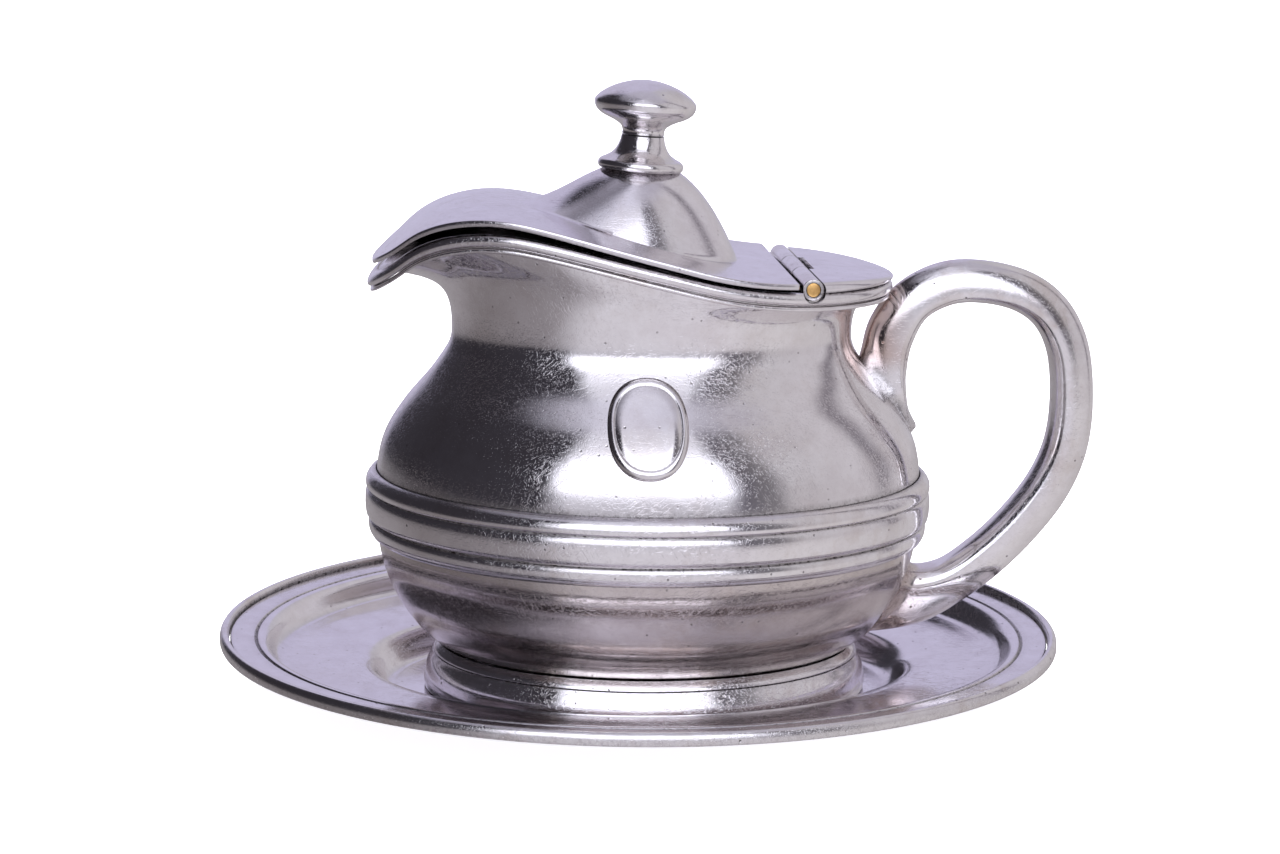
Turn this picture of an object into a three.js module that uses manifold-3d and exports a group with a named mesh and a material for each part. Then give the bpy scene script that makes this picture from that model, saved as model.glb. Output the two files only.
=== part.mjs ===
// A silver-plated covered sauce boat: an oval boat with a spout, a hinged lid and a cast handle,
// soldered into the well of its own oval underplate.
//
// Frame, in millimetres: the origin is the middle of the flat underside that the object rests on.
// +Z is up, the spout points along -X, the handle along +X, and the lid hinge lies along Y.

import * as THREE from 'three';
import { mergeVertices } from 'three/addons/utils/BufferGeometryUtils.js';
import Module from 'manifold-3d';

// ---------------------------------------------------------------- driving dimensions

const SIDES = 36; // facets round an oval
const SEAT_GAP = 0.3; // left between a piece and the curved neighbour that it is cut to
const SOLDER_GAP = 0.2; // left between pieces that are soldered to each other

// Underplate. Every oval is given by its half length; the half width follows from the inset below.
const TRAY_HALF_LENGTH = 84.8;
const TRAY_HALF_WIDTH = 64.7;
const TRAY_THICKNESS = 0.8;
const BORDER_WIDTH = 1.9;
const BORDER_BOTTOM = 11.4;
const BORDER_HEIGHT = 2.6;
const RIM_FLAT = 5.0; // width of the flat rim between its two grooves
const GROOVE_WIDTH = 0.5;
const GROOVE_DEPTH = 0.35;
const STEP_LIP = 1.5; // rounded lip at the inner edge of the rim
const STEP_RUN = 2.4;
const PANEL_OUTER_HEIGHT = 7.6; // top of the flat panel where the rim steps down to it
const PANEL_INNER_HEIGHT = 6.8; // top of the flat panel at the edge of the well
const WELL_RUN = 5.0; // how far the wall of the well leans in, along the length
const WELL_RUN_ACROSS = 3.2;
const WELL_MARGIN = 5.2; // flat floor left round the foot, along the length
const WELL_MARGIN_ACROSS = 0.9;

// Boat: the ovals of foot and bowl are narrower than they are long by about the same amount.
const BOAT_X = 1.0; // middle of the boat, off the middle of the underplate
const NARROWING = 15.0; // half length less half width, for the foot and the bowl
const FOOT_HALF_LENGTH = 45.1;
const FOOT_HEIGHT = 10.4;
const FOOT_TAPER = 3.2; // how much shorter the foot is at its top
const FOOT_GROOVE_DROP = 1.8; // from the top of the foot down to the groove in it
const FOOT_WALL = 1.6;
const WALL = 1.2;
const BOWL_FLOOR_DROP = 2.4; // the bottom of the bowl hangs inside the foot
const BOAT_HALF_LENGTH = 54.6; // at the belt, where the boat is widest
const BELT_BOTTOM = 33.0;
const BELT_TOP = 46.4;
const BELT_RELIEF = 2.1; // how far the belt stands out from the boat
const NECK_HEIGHT = 74.5;
const NECK_INSET = 15.0; // how much narrower the boat is at its neck

// Rim: one plan outline for the mouth, a longer half towards the spout.
const SPOUT_REACH = 16.4; // beyond the neck
const HEEL_REACH = 7.6;
const MOUTH_HALF_WIDTH = 30.5;
const MOUTH_SQUARENESS = 2.2; // exponent of the outline: 2 is an ellipse
const RIM_WIDTH = 2.0;
const RIM_HEIGHT = 2.4;
const RIM_BEAD = 0.9; // thickness of the thin wire below the rim moulding
const HEEL_RISE = 11.0; // top of the rim at the heel, above the neck
const CREST_RISE = 10.8; // highest point of the rim, near the spout, above the heel

// Hinge.
const HINGE_STATION = 0.5975; // place of the pin, as a share of the way from middle to heel
const HINGE_RISE = 0.7; // of the pin above the rim
const HINGE_LENGTH = 46.8;
const KNUCKLE_DIAMETER = 4.1;
const PIN_DIAMETER = 2.7;
const PIN_CLEARANCE = 0.06; // on the radius
const KNUCKLE_GAP = 0.2; // between knuckles, along the pin
const LID_KNUCKLE_FROM = -7.4;
const LID_KNUCKLE_TO = 7.4;
const HINGE_SIDES = 20;
const SWING_GAP = 0.5; // between the barrel of the hinge and what it turns past

// Lid.
const LID_THICKNESS = 1.1;
const LID_REAR_GAP = 1.15; // between the barrel of the hinge and the lid's rear edge
const LID_OVERHANG = 0.3;
const LID_TIP_INSET = 1.0; // how far the lid's point stays inside the tip of the spout
const LID_CROWN = 1.5;
const LID_SIDES = 44;
const DOME_X = -2.3;
const DOME_HEIGHT = 22.1; // above the rim at the heel
const DOME_HALF_LENGTH = 19.8;
const DOME_HALF_WIDTH = 16.0;
const DOME_RUNOUT = 3.5; // how much longer the dome runs towards the spout

// Finial, fastened by a stud, washer and nut.
const FINIAL_X = -2.0;
const FINIAL_LEAN = THREE.MathUtils.degToRad(3.5);
const FINIAL_HEIGHT = 16.6; // top of the button above its seat
const BUTTON_RADIUS = 9.9;
const BUTTON_DROP = 4.4; // from the top down to the button's widest line
const FINIAL_NECK_RADIUS = 4.15;
const FINIAL_SEAM = 6.0; // height of the joint in the neck above the seat
const FINIAL_FOOT_RADIUS = 8.3;
const FINIAL_SIDES = 24;
const STUD_SIDES = 16;
const STUD_DIAMETER = 3.0;
const STUD_LENGTH = 6.4; // below the seat
const STUD_CLEARANCE = 0.15;
const WASHER_DIAMETER = 8.4;
const WASHER_THICKNESS = 0.7;
const NUT_ACROSS_FLATS = 5.5;
const NUT_THICKNESS = 2.2;

// Handle: half width across, and how far the sharp edge of its section lies behind its middle.
const HANDLE_ROOT_HEIGHT = 19.0; // middle of the lower root
const HANDLE_HALF_WIDTH = 4.6;
const HANDLE_EDGE_BACK = 0.42;
const HANDLE_STEPS = 36;
const HANDLE_SIDES = 14;

// Blank plaque on the front of the boat.
const PLAQUE_X = -2.1;
const PLAQUE_HEIGHT = 61.3;
const PLAQUE_HALF_WIDTH = 7.6;
const PLAQUE_HALF_HEIGHT = 8.5;
const PLAQUE_THICKNESS = 1.1;

// ---------------------------------------------------------------- sizes that follow from these

const BORDER_TOP = BORDER_BOTTOM + BORDER_HEIGHT;
const RIM_TOP = BORDER_TOP - 1.4;
const WELL_FLOOR = TRAY_THICKNESS;
const WELL_HALF_LENGTH = FOOT_HALF_LENGTH + WELL_MARGIN + WELL_RUN;
const WELL_HALF_WIDTH = FOOT_HALF_LENGTH - NARROWING + WELL_MARGIN_ACROSS + WELL_RUN_ACROSS;
const FOOT_TOP_HALF_LENGTH = FOOT_HALF_LENGTH - FOOT_TAPER;
const FOOT_GROOVE_HALF_LENGTH = FOOT_HALF_LENGTH - FOOT_TAPER * 0.6;
const FOOT_GROOVE_HEIGHT = FOOT_HEIGHT - FOOT_GROOVE_DROP;
const BOWL_FLOOR = FOOT_HEIGHT - BOWL_FLOOR_DROP;
const BELT_HALF_LENGTH = BOAT_HALF_LENGTH + BELT_RELIEF;
const SEAM_HEIGHT = (BELT_BOTTOM + BELT_TOP) / 2; // the two halves of the boat meet behind the belt
const NECK_HALF_LENGTH = BOAT_HALF_LENGTH - NECK_INSET;
const MOUTH_SPOUT_LENGTH = NECK_HALF_LENGTH + SPOUT_REACH;
const MOUTH_HEEL_LENGTH = NECK_HALF_LENGTH + HEEL_REACH;
const HEEL_HEIGHT = NECK_HEIGHT + HEEL_RISE;
const BARREL_RADIUS = KNUCKLE_DIAMETER / 2;
const BORE_RADIUS = PIN_DIAMETER / 2 + PIN_CLEARANCE;
const HINGE_HALF = HINGE_LENGTH / 2;
const HINGE_X = BOAT_X + MOUTH_HEEL_LENGTH * HINGE_STATION;
const HINGE_Z = HEEL_HEIGHT + HINGE_RISE;
const LID_REAR_X = HINGE_X - BARREL_RADIUS - LID_REAR_GAP;
const DOME_TOP = HEEL_HEIGHT + DOME_HEIGHT;
const SEAT_HEIGHT = DOME_TOP - 0.9; // where the axis of the knob meets the lid

// ---------------------------------------------------------------- solids

const wasm = await Module();
wasm.setup();

// A closed geometry as a manifold-3d solid.
function solid(geometry) {
  const bare = geometry.index ? geometry.toNonIndexed() : geometry.clone();
  for (const name of Object.keys(bare.attributes)) {
    if (name !== 'position') bare.deleteAttribute(name);
  }
  const merged = mergeVertices(bare, 1e-4);
  return new wasm.Manifold(
    new wasm.Mesh({
      numProp: 3,
      vertProperties: merged.attributes.position.array,
      triVerts: new Uint32Array(merged.index.array),
    }),
  );
}

// A manifold-3d solid as a geometry.
function geometryOf(body) {
  const mesh = body.getMesh();
  const positions = new Float32Array(mesh.numVert * 3);
  for (let i = 0; i < mesh.numVert; i++) {
    const start = i * mesh.numProp;
    positions.set(mesh.vertProperties.subarray(start, start + 3), i * 3);
  }
  const geometry = new THREE.BufferGeometry();
  geometry.setAttribute('position', new THREE.BufferAttribute(positions, 3));
  geometry.setIndex(new THREE.BufferAttribute(new Uint32Array(mesh.triVerts), 1));
  return geometry;
}

// Skins a row of closed rings, each with the same number of points. A ring of one point closes the
// skin to a tip; looped joins the last ring to the first, as round a hoop.
function skin(rings, looped = false) {
  const sides = Math.max(...rings.map((ring) => ring.length));
  const positions = [];
  const starts = rings.map((ring) => {
    const start = positions.length / 3;
    ring.forEach((p) => positions.push(p.x, p.y, p.z));
    return start;
  });
  const vertex = (ring, side) => starts[ring] + (rings[ring].length === 1 ? 0 : side % sides);
  const index = [];
  const triangle = (a, b, c) => {
    if (a !== b && b !== c && c !== a) index.push(a, b, c);
  };
  const bands = looped ? rings.length : rings.length - 1;
  for (let i = 0; i < bands; i++) {
    const next = (i + 1) % rings.length;
    for (let j = 0; j < sides; j++) {
      triangle(vertex(i, j), vertex(i, j + 1), vertex(next, j + 1));
      triangle(vertex(i, j), vertex(next, j + 1), vertex(next, j));
    }
  }
  const geometry = new THREE.BufferGeometry();
  geometry.setAttribute('position', new THREE.Float32BufferAttribute(positions, 3));
  geometry.setIndex(index);
  return geometry;
}

const point = (x, y, z) => new THREE.Vector3(x, y, z);
const turns = (count) => Array.from({ length: count }, (_, i) => (2 * Math.PI * i) / count);

// A level oval ring about (x, 0, z).
function oval(x, halfLength, halfWidth, z) {
  return turns(SIDES).map((t) => point(x + halfLength * Math.cos(t), halfWidth * Math.sin(t), z));
}

// A smooth curve through [x, y] points whose x rises, as a function of x.
function through(points) {
  const curve = new THREE.SplineCurve(points.map(([x, y]) => new THREE.Vector2(x, y)));
  const samples = curve.getPoints(points.length * 24);
  return (x) => {
    const last = samples.length - 1;
    if (x <= samples[0].x) return samples[0].y;
    if (x >= samples[last].x) return samples[last].y;
    const i = samples.findIndex((p) => p.x > x);
    const t = (x - samples[i - 1].x) / (samples[i].x - samples[i - 1].x);
    return THREE.MathUtils.lerp(samples[i - 1].y, samples[i].y, t);
  };
}

// Points along an arc in a section, from one angle to another, in degrees.
function arc(cx, cy, rx, ry, from, to, steps) {
  return Array.from({ length: steps + 1 }, (_, i) => {
    const t = THREE.MathUtils.degToRad(THREE.MathUtils.lerp(from, to, i / steps));
    return [cx + rx * Math.cos(t), cy + ry * Math.sin(t)];
  });
}

// ---------------------------------------------------------------- underplate

const trayInset = TRAY_HALF_LENGTH - TRAY_HALF_WIDTH;
const wellInset = WELL_HALF_LENGTH - WELL_HALF_WIDTH;

// A ring of the underplate at a given half length: its half width blends from the rim's inset to
// the well's.
function trayRing(halfLength, z) {
  const inner = WELL_HALF_LENGTH;
  const outer = TRAY_HALF_LENGTH - BORDER_WIDTH - RIM_FLAT;
  const t = THREE.MathUtils.clamp((halfLength - inner) / (outer - inner), 0, 1);
  const inset = THREE.MathUtils.lerp(wellInset, trayInset, t);
  const lean = (WELL_RUN - WELL_RUN_ACROSS) * THREE.MathUtils.clamp((inner - halfLength) / WELL_RUN, 0, 1);
  return oval(0, halfLength, halfLength - inset + lean, z);
}

// Upper face of the underplate from the middle out, as [half length, height].
function trayProfile() {
  const edge = TRAY_HALF_LENGTH - BORDER_WIDTH - SOLDER_GAP;
  const groove = edge - RIM_FLAT;
  const lip = groove - GROOVE_WIDTH;
  const step = lip - STEP_LIP;
  const wellFoot = WELL_HALF_LENGTH - WELL_RUN;
  const wellDrop = PANEL_INNER_HEIGHT - WELL_FLOOR;
  return [
    [wellFoot * 0.5, WELL_FLOOR],
    [wellFoot, WELL_FLOOR],
    [wellFoot + WELL_RUN * 0.35, WELL_FLOOR + wellDrop * 0.12],
    [wellFoot + WELL_RUN * 0.66, WELL_FLOOR + wellDrop * 0.52],
    [wellFoot + WELL_RUN * 0.84, WELL_FLOOR + wellDrop * 0.86],
    [WELL_HALF_LENGTH, PANEL_INNER_HEIGHT - 0.1],
    [WELL_HALF_LENGTH + 1.2, PANEL_INNER_HEIGHT],
    [step - STEP_RUN, PANEL_OUTER_HEIGHT],
    [step - STEP_RUN * 0.45, PANEL_OUTER_HEIGHT + 0.9],
    [step, RIM_TOP - 1.5],
    [step + STEP_LIP * 0.35, RIM_TOP - 0.35],
    [lip, RIM_TOP - 0.2],
    [groove - GROOVE_WIDTH * 0.5, RIM_TOP - 0.2 - GROOVE_DEPTH],
    [groove, RIM_TOP - 0.25],
    [edge, RIM_TOP],
  ];
}

function trayPlate() {
  const top = trayProfile();
  const under = top.map(([a, z]) => [a, z - TRAY_THICKNESS]).reverse();
  const tip = (z) => [point(0, 0, z)];
  const rings = [
    tip(0),
    ...under.reverse().map(([a, z]) => trayRing(a, z)),
    ...top.reverse().map(([a, z]) => trayRing(a, z)),
    tip(WELL_FLOOR),
  ];
  return skin(rings);
}

function trayBorder() {
  const inner = TRAY_HALF_LENGTH - BORDER_WIDTH;
  const middle = (inner + TRAY_HALF_LENGTH) / 2;
  const crown = BORDER_WIDTH / 2;
  const section = [
    [inner, BORDER_BOTTOM],
    [TRAY_HALF_LENGTH - 0.3, BORDER_BOTTOM],
    [TRAY_HALF_LENGTH, BORDER_BOTTOM + 0.4],
    ...arc(middle, BORDER_TOP - crown, crown, crown, 0, 150, 4),
    [inner, RIM_TOP - 0.1],
  ];
  return skin(section.map(([a, z]) => oval(0, a, a - trayInset, z)), true);
}

// ---------------------------------------------------------------- boat below the rim

// Half length of the boat's outer face at a height, up to the neck.
const bowlFoot = FOOT_TOP_HALF_LENGTH - 0.5;
const bowlHeight = (share) => THREE.MathUtils.lerp(FOOT_HEIGHT, SEAM_HEIGHT, share);
const shoulderHeight = (share) => THREE.MathUtils.lerp(SEAM_HEIGHT, NECK_HEIGHT, share);
const swell = (share) => THREE.MathUtils.lerp(bowlFoot, BOAT_HALF_LENGTH, share);
const shrink = (share) => BOAT_HALF_LENGTH - NECK_INSET * share;
const bowlHalfLength = through([
  [BOWL_FLOOR, bowlFoot - 5.4],
  [FOOT_HEIGHT, bowlFoot],
  [bowlHeight(0.16), swell(0.4)],
  [bowlHeight(0.4), swell(0.74)],
  [bowlHeight(0.67), swell(0.94)],
  [SEAM_HEIGHT, BOAT_HALF_LENGTH],
  [shoulderHeight(0.24), shrink(0.027)],
  [shoulderHeight(0.41), shrink(0.133)],
  [shoulderHeight(0.584), shrink(0.38)],
  [shoulderHeight(0.756), shrink(0.713)],
  [shoulderHeight(0.885), shrink(0.92)],
  [NECK_HEIGHT, NECK_HALF_LENGTH],
  [NECK_HEIGHT + 4, NECK_HALF_LENGTH],
]);

// Heights at which the two halves of the boat are sectioned.
const lowerHeights = [
  BOWL_FLOOR,
  FOOT_HEIGHT,
  ...[0.07, 0.19, 0.36, 0.6].map(bowlHeight),
  SEAM_HEIGHT - SOLDER_GAP / 2,
];
const upperHeights = [
  SEAM_HEIGHT + SOLDER_GAP / 2,
  ...[0.24, 0.38, 0.53, 0.67, 0.82, 0.92].map(shoulderHeight),
];

function bowlRing(offset, z) {
  const a = bowlHalfLength(z) + offset;
  return oval(BOAT_X, a, a - NARROWING, z);
}

// A hoop round the boat from [half length, height] points of its section.
function hoop(section) {
  return skin(section.map(([a, z]) => oval(BOAT_X, a, a - NARROWING, z)), true);
}

function footRing() {
  const bottom = WELL_FLOOR + SOLDER_GAP;
  const top = FOOT_GROOVE_HEIGHT - SOLDER_GAP / 2;
  const bulge = FOOT_HALF_LENGTH;
  return hoop([
    [bulge - 0.4, bottom],
    [bulge, bottom + 1.0],
    [bulge - 0.3, bottom + 3.2],
    [bulge - 1.0, bottom + 5.6],
    [FOOT_GROOVE_HALF_LENGTH + 0.1, top - 0.3],
    [FOOT_GROOVE_HALF_LENGTH - 0.3, top],
    [FOOT_GROOVE_HALF_LENGTH - FOOT_WALL, top],
    [bulge - FOOT_WALL - 0.6, bottom + 4.0],
    [bulge - FOOT_WALL - 0.4, bottom],
  ]);
}

function footNeck() {
  const bottom = FOOT_GROOVE_HEIGHT + SOLDER_GAP / 2;
  return hoop([
    [FOOT_GROOVE_HALF_LENGTH - 0.3, bottom],
    [FOOT_GROOVE_HALF_LENGTH - 0.1, bottom + 0.3],
    [FOOT_TOP_HALF_LENGTH + 0.5, FOOT_HEIGHT - 0.5],
    [FOOT_TOP_HALF_LENGTH, FOOT_HEIGHT],
    [bowlHalfLength(FOOT_HEIGHT) + SEAT_GAP, FOOT_HEIGHT],
    [FOOT_TOP_HALF_LENGTH - FOOT_WALL, bottom],
  ]);
}

function bowlLower() {
  const last = lowerHeights.length - 1;
  const outer = lowerHeights.map((z) => bowlRing(0, z));
  const inner = lowerHeights.map((z, i) => bowlRing(-WALL, z + WALL * (1 - i / last)));
  return skin([
    [point(BOAT_X, 0, BOWL_FLOOR)],
    ...outer,
    ...inner.reverse(),
    [point(BOAT_X, 0, BOWL_FLOOR + WALL)],
  ]);
}

function beltMoulding() {
  const outer = BELT_HALF_LENGTH;
  const height = BELT_TOP - BELT_BOTTOM;
  const lowHalf = height * 0.14; // half heights of lower bead, band and upper bead
  const bandHalf = height * 0.26;
  const highHalf = height * 0.17;
  const lowBead = BELT_BOTTOM + lowHalf;
  const highBead = BELT_TOP - highHalf - 0.1;
  const wall = [BELT_TOP, ...upperHeights, ...lowerHeights, BELT_BOTTOM]
    .filter((z) => z <= BELT_TOP && z >= BELT_BOTTOM)
    .sort((a, b) => b - a);
  const section = [
    ...arc(outer - BELT_RELIEF * 0.7, lowBead, BELT_RELIEF * 0.65, lowHalf, -80, 55, 3),
    ...arc(outer - BELT_RELIEF * 0.9, (lowBead + highBead) / 2, BELT_RELIEF * 0.9, bandHalf, -52, 52, 4),
    ...arc(outer - BELT_RELIEF * 0.9, highBead, BELT_RELIEF * 0.85, highHalf, -50, 80, 3),
    ...wall.map((z) => [bowlHalfLength(z) + SEAT_GAP, z]),
  ];
  return hoop(section);
}

// ---------------------------------------------------------------- mouth and rim

// Height of the top of the rim moulding along the boat, from the tip of the spout to the heel.
const towardsSpout = (share) => BOAT_X - MOUTH_SPOUT_LENGTH * share;
const towardsHeel = (share) => BOAT_X + MOUTH_HEEL_LENGTH * share;
const crest = (share) => HEEL_HEIGHT + CREST_RISE * share;
const rimTop = through([
  [towardsSpout(1), crest(-0.06)],
  [towardsSpout(0.91), crest(0.3)],
  [towardsSpout(0.813), crest(0.69)],
  [towardsSpout(0.696), crest(0.925)],
  [towardsSpout(0.554), crest(1)],
  [towardsSpout(0.375), crest(0.88)],
  [towardsSpout(0.018), crest(0.454)],
  [towardsHeel(0.233), crest(0.204)],
  [towardsHeel(0.445), crest(0.074)],
  [towardsHeel(0.657), crest(0.02)],
  [towardsHeel(1), crest(0)],
]);

// How far the upper edge of the lid stands above the rim, along the boat.
const lidRise = through([
  [towardsSpout(1), 1.5],
  [towardsSpout(0.554), 2.3],
  [towardsHeel(0.233), 1.75],
  [LID_REAR_X, 1.9],
]);
const lidTop = (x) => rimTop(x) + lidRise(x);

// A point of the mouth outline at angle t, moved out by an offset.
function mouthPoint(t, offset) {
  const power = 2 / MOUTH_SQUARENESS;
  const c = Math.cos(t);
  const s = Math.sin(t);
  const length = (c < 0 ? MOUTH_SPOUT_LENGTH : MOUTH_HEEL_LENGTH) + offset;
  const x = BOAT_X + length * Math.sign(c) * Math.abs(c) ** power;
  const y = (MOUTH_HALF_WIDTH + offset) * Math.sign(s) * Math.abs(s) ** power;
  return new THREE.Vector2(x, y);
}

// A ring that follows the rim, at an offset in plan and a drop below the rim's top.
function rimRing(offset, drop) {
  return turns(SIDES).map((t) => {
    const p = mouthPoint(t, offset);
    return point(p.x, p.y, rimTop(p.x) - drop);
  });
}

// A wire along the rim from [offset, drop] points, cut clear of the hinge.
function rimWire(section) {
  const ring = solid(skin(section.map(([offset, drop]) => rimRing(offset, drop)), true));
  return geometryOf(ring.subtract(hingeBarrelCutter()));
}

function rimMoulding() {
  const half = RIM_HEIGHT / 2;
  return rimWire([[-RIM_WIDTH, RIM_HEIGHT], ...arc(-half, half, half, half, 80, -100, 6), [-RIM_WIDTH, 0.15]]);
}

function rimBead() {
  const half = RIM_BEAD / 2;
  const drop = RIM_HEIGHT + SOLDER_GAP + half;
  return rimWire([[-RIM_WIDTH, drop + half], ...arc(-1.0, drop, half, half, 90, -90, 3), [-RIM_WIDTH, drop - half]]);
}

// A surface ring of the boat between neck and mouth: s runs from 0 at the neck to 1 at the rim.
function throatRing(s, offset) {
  const neck = NECK_HALF_LENGTH + offset;
  return turns(SIDES).map((t) => {
    const c = Math.cos(t);
    const start = point(BOAT_X + neck * c, (neck - NARROWING) * Math.sin(t), NECK_HEIGHT);
    const mouth = mouthPoint(t, offset - RIM_WIDTH - SOLDER_GAP);
    const end = point(mouth.x, mouth.y, rimTop(mouth.x) - 0.3);
    const rise = end.z - start.z;
    const spout = Math.max(0, -c) ** 3; // 1 under the spout, 0 elsewhere
    const heel = Math.max(0, c) ** 3;
    const out = end.clone().sub(start).setZ(0);
    const lift = start.clone().add(point(0, 0, rise * THREE.MathUtils.lerp(0.55, 0.8, Math.max(spout, heel))));
    const lead = THREE.MathUtils.lerp(0.35, 0.8, spout);
    const fall = THREE.MathUtils.lerp(0.45, 0.12, spout);
    const arrive = end.clone().addScaledVector(out, -lead).add(point(0, 0, -rise * fall));
    return new THREE.CubicBezierCurve3(start, lift, arrive, end).getPoint(s);
  });
}

const throatShares = [0, 0.25, 0.5, 0.75, 1];

function bodyUpper() {
  const face = (offset) => [
    ...upperHeights.map((z) => bowlRing(offset, z)),
    ...throatShares.map((s) => throatRing(s, offset)),
  ];
  const wall = solid(skin([...face(0), ...face(-WALL).reverse()], true));
  return geometryOf(wall.subtract(hingeBarrelCutter()));
}

// ---------------------------------------------------------------- hinge and heel

// A cylinder along Y, its flats turned alike whatever its diameter.
function cylinderAcross(radius, from, to, x = HINGE_X, z = HINGE_Z) {
  const geometry = new THREE.CylinderGeometry(radius, radius, to - from, HINGE_SIDES);
  geometry.translate(x, (from + to) / 2, z);
  return solid(geometry);
}

function box(xFrom, xTo, yFrom, yTo, zFrom, zTo) {
  const geometry = new THREE.BoxGeometry(xTo - xFrom, yTo - yFrom, zTo - zFrom);
  geometry.translate((xFrom + xTo) / 2, (yFrom + yTo) / 2, (zFrom + zTo) / 2);
  return solid(geometry);
}

function hingeBarrelCutter() {
  return cylinderAcross(BARREL_RADIUS + SEAT_GAP, -HINGE_HALF - 6, HINGE_HALF + 6);
}

// Heel plate: the fixed cover behind the hinge, with its two knuckles.
function heelPlate() {
  const top = HINGE_Z + BARREL_RADIUS - 0.4;
  const [below, above] = [HINGE_Z - 6, HINGE_Z + 9];
  const across = MOUTH_HALF_WIDTH + 10;
  const rings = [];
  const layer = (offset, z, fall) =>
    turns(SIDES).map((t) => {
      const p = mouthPoint(t, offset);
      const back = Math.max(0, p.x - HINGE_X) / (MOUTH_HEEL_LENGTH - HINGE_X);
      return point(Math.max(p.x, HINGE_X - 1), p.y, z - fall * back ** 2);
    });
  const under = rimTop(BOAT_X + MOUTH_HEEL_LENGTH) + SOLDER_GAP;
  const centre = (z) => [point(HINGE_X + 6, 0, z)];
  rings.push(centre(under));
  rings.push(layer(-1.2, under, 0));
  rings.push(layer(-0.2, under + 0.3, 0));
  rings.push(layer(0, under + 0.9, 0.2));
  rings.push(layer(-0.5, top - 0.5, 0.9));
  rings.push(layer(-1.6, top, 1.1));
  rings.push(layer(-8, top, 0.8));
  rings.push(centre(top));
  const front = HINGE_X + BARREL_RADIUS + SWING_GAP;
  let plate = solid(skin(rings)).subtract(box(0, HINGE_X, -across, across, below, above));
  const slot = [LID_KNUCKLE_FROM - KNUCKLE_GAP, LID_KNUCKLE_TO + KNUCKLE_GAP];
  plate = plate.subtract(box(HINGE_X - 5, front, slot[0], slot[1], below, above));
  return geometryOf(plate.subtract(cylinderAcross(BARREL_RADIUS + SOLDER_GAP, -HINGE_HALF - 4, HINGE_HALF + 4)));
}

// A tube of the hinge between two stations along the pin.
function knuckle(from, to) {
  return cylinderAcross(BARREL_RADIUS, from, to).subtract(cylinderAcross(BORE_RADIUS, from - 1, to + 1));
}

function hingePin() {
  return geometryOf(cylinderAcross(PIN_DIAMETER / 2, -HINGE_HALF - 0.1, HINGE_HALF + 0.1));
}

function lidKnuckle() {
  const barrel = cylinderAcross(BARREL_RADIUS, LID_KNUCKLE_FROM, LID_KNUCKLE_TO);
  const leafTop = lidTop(LID_REAR_X);
  const leaf = box(
    LID_REAR_X + SOLDER_GAP,
    HINGE_X - 0.6,
    LID_KNUCKLE_FROM,
    LID_KNUCKLE_TO,
    leafTop - LID_THICKNESS,
    leafTop,
  );
  return geometryOf(barrel.add(leaf).subtract(cylinderAcross(BORE_RADIUS, -40, 40)));
}

// ---------------------------------------------------------------- lid

// Height of the lid's plate, which follows the rim and is slightly crowned across.
function lidPlateHeight(x, y) {
  const across = Math.min(1, Math.abs(y) / MOUTH_HALF_WIDTH);
  const along = THREE.MathUtils.smoothstep(-x, -LID_REAR_X, 30);
  return lidTop(x) + LID_CROWN * along * (1 - across ** 2);
}

// A point of the dome's foot line at angle t: sharp behind, running out long towards the spout.
function domeFoot(t) {
  const spread = DOME_RUNOUT * Math.max(0, -Math.cos(t)) ** 2;
  return new THREE.Vector2(
    DOME_X + (DOME_HALF_LENGTH + spread) * Math.cos(t),
    DOME_HALF_WIDTH * Math.sin(t),
  );
}

// Height of the dome over the point a share s of the way from its middle to its foot at angle t.
function domeHeight(t, s) {
  const foot = domeFoot(t);
  const low = lidPlateHeight(foot.x, foot.y);
  const runout = Math.max(0, -Math.cos(t)) ** 2;
  const profile = THREE.MathUtils.lerp(s ** 2.4, (1 - Math.cos(Math.PI * s ** 1.1)) / 2, runout);
  return THREE.MathUtils.lerp(DOME_TOP, low, profile);
}

// The lid's plan outline from its rear, round the spout: the mouth outline, cut straight across in
// front of the hinge.
function lidOutline() {
  return turns(LID_SIDES).map((t) => {
    const tip = Math.max(0, -Math.cos(t)) ** 8;
    const p = mouthPoint(t, THREE.MathUtils.lerp(LID_OVERHANG, -LID_TIP_INSET, tip));
    if (p.x <= LID_REAR_X) return p;
    return new THREE.Vector2(LID_REAR_X, p.y);
  });
}

function lidSkin(lift, thickness) {
  const angles = turns(LID_SIDES);
  const outline = lidOutline();
  const domeShares = [0.25, 0.45, 0.62, 0.78, 0.9, 1];
  const plateShares = [0.2, 0.6, 1];
  const face = (rise) => [
    ...domeShares.map((s) =>
      angles.map((t) => {
        const foot = domeFoot(t);
        return point(THREE.MathUtils.lerp(DOME_X, foot.x, s), foot.y * s, domeHeight(t, s) + rise);
      }),
    ),
    ...plateShares.map((s) =>
      angles.map((t, i) => {
        const p = domeFoot(t).lerp(outline[i], s);
        return point(p.x, p.y, lidPlateHeight(p.x, p.y) + rise);
      }),
    ),
  ];
  return skin([
    [point(DOME_X, 0, DOME_TOP + lift - thickness)],
    ...face(lift - thickness),
    ...face(lift).reverse(),
    [point(DOME_X, 0, DOME_TOP + lift)],
  ]);
}

const finialFrame = new THREE.Matrix4()
  .makeTranslation(FINIAL_X, 0, SEAT_HEIGHT)
  .multiply(new THREE.Matrix4().makeRotationY(FINIAL_LEAN));

// A solid turned about the finial's axis, from [radius, height above the seat] points.
function turned(profile, sides) {
  const points = profile.map(([r, z]) => new THREE.Vector2(r, z));
  const geometry = new THREE.LatheGeometry(points, sides);
  geometry.rotateX(Math.PI / 2);
  geometry.applyMatrix4(finialFrame);
  return solid(geometry);
}

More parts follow.
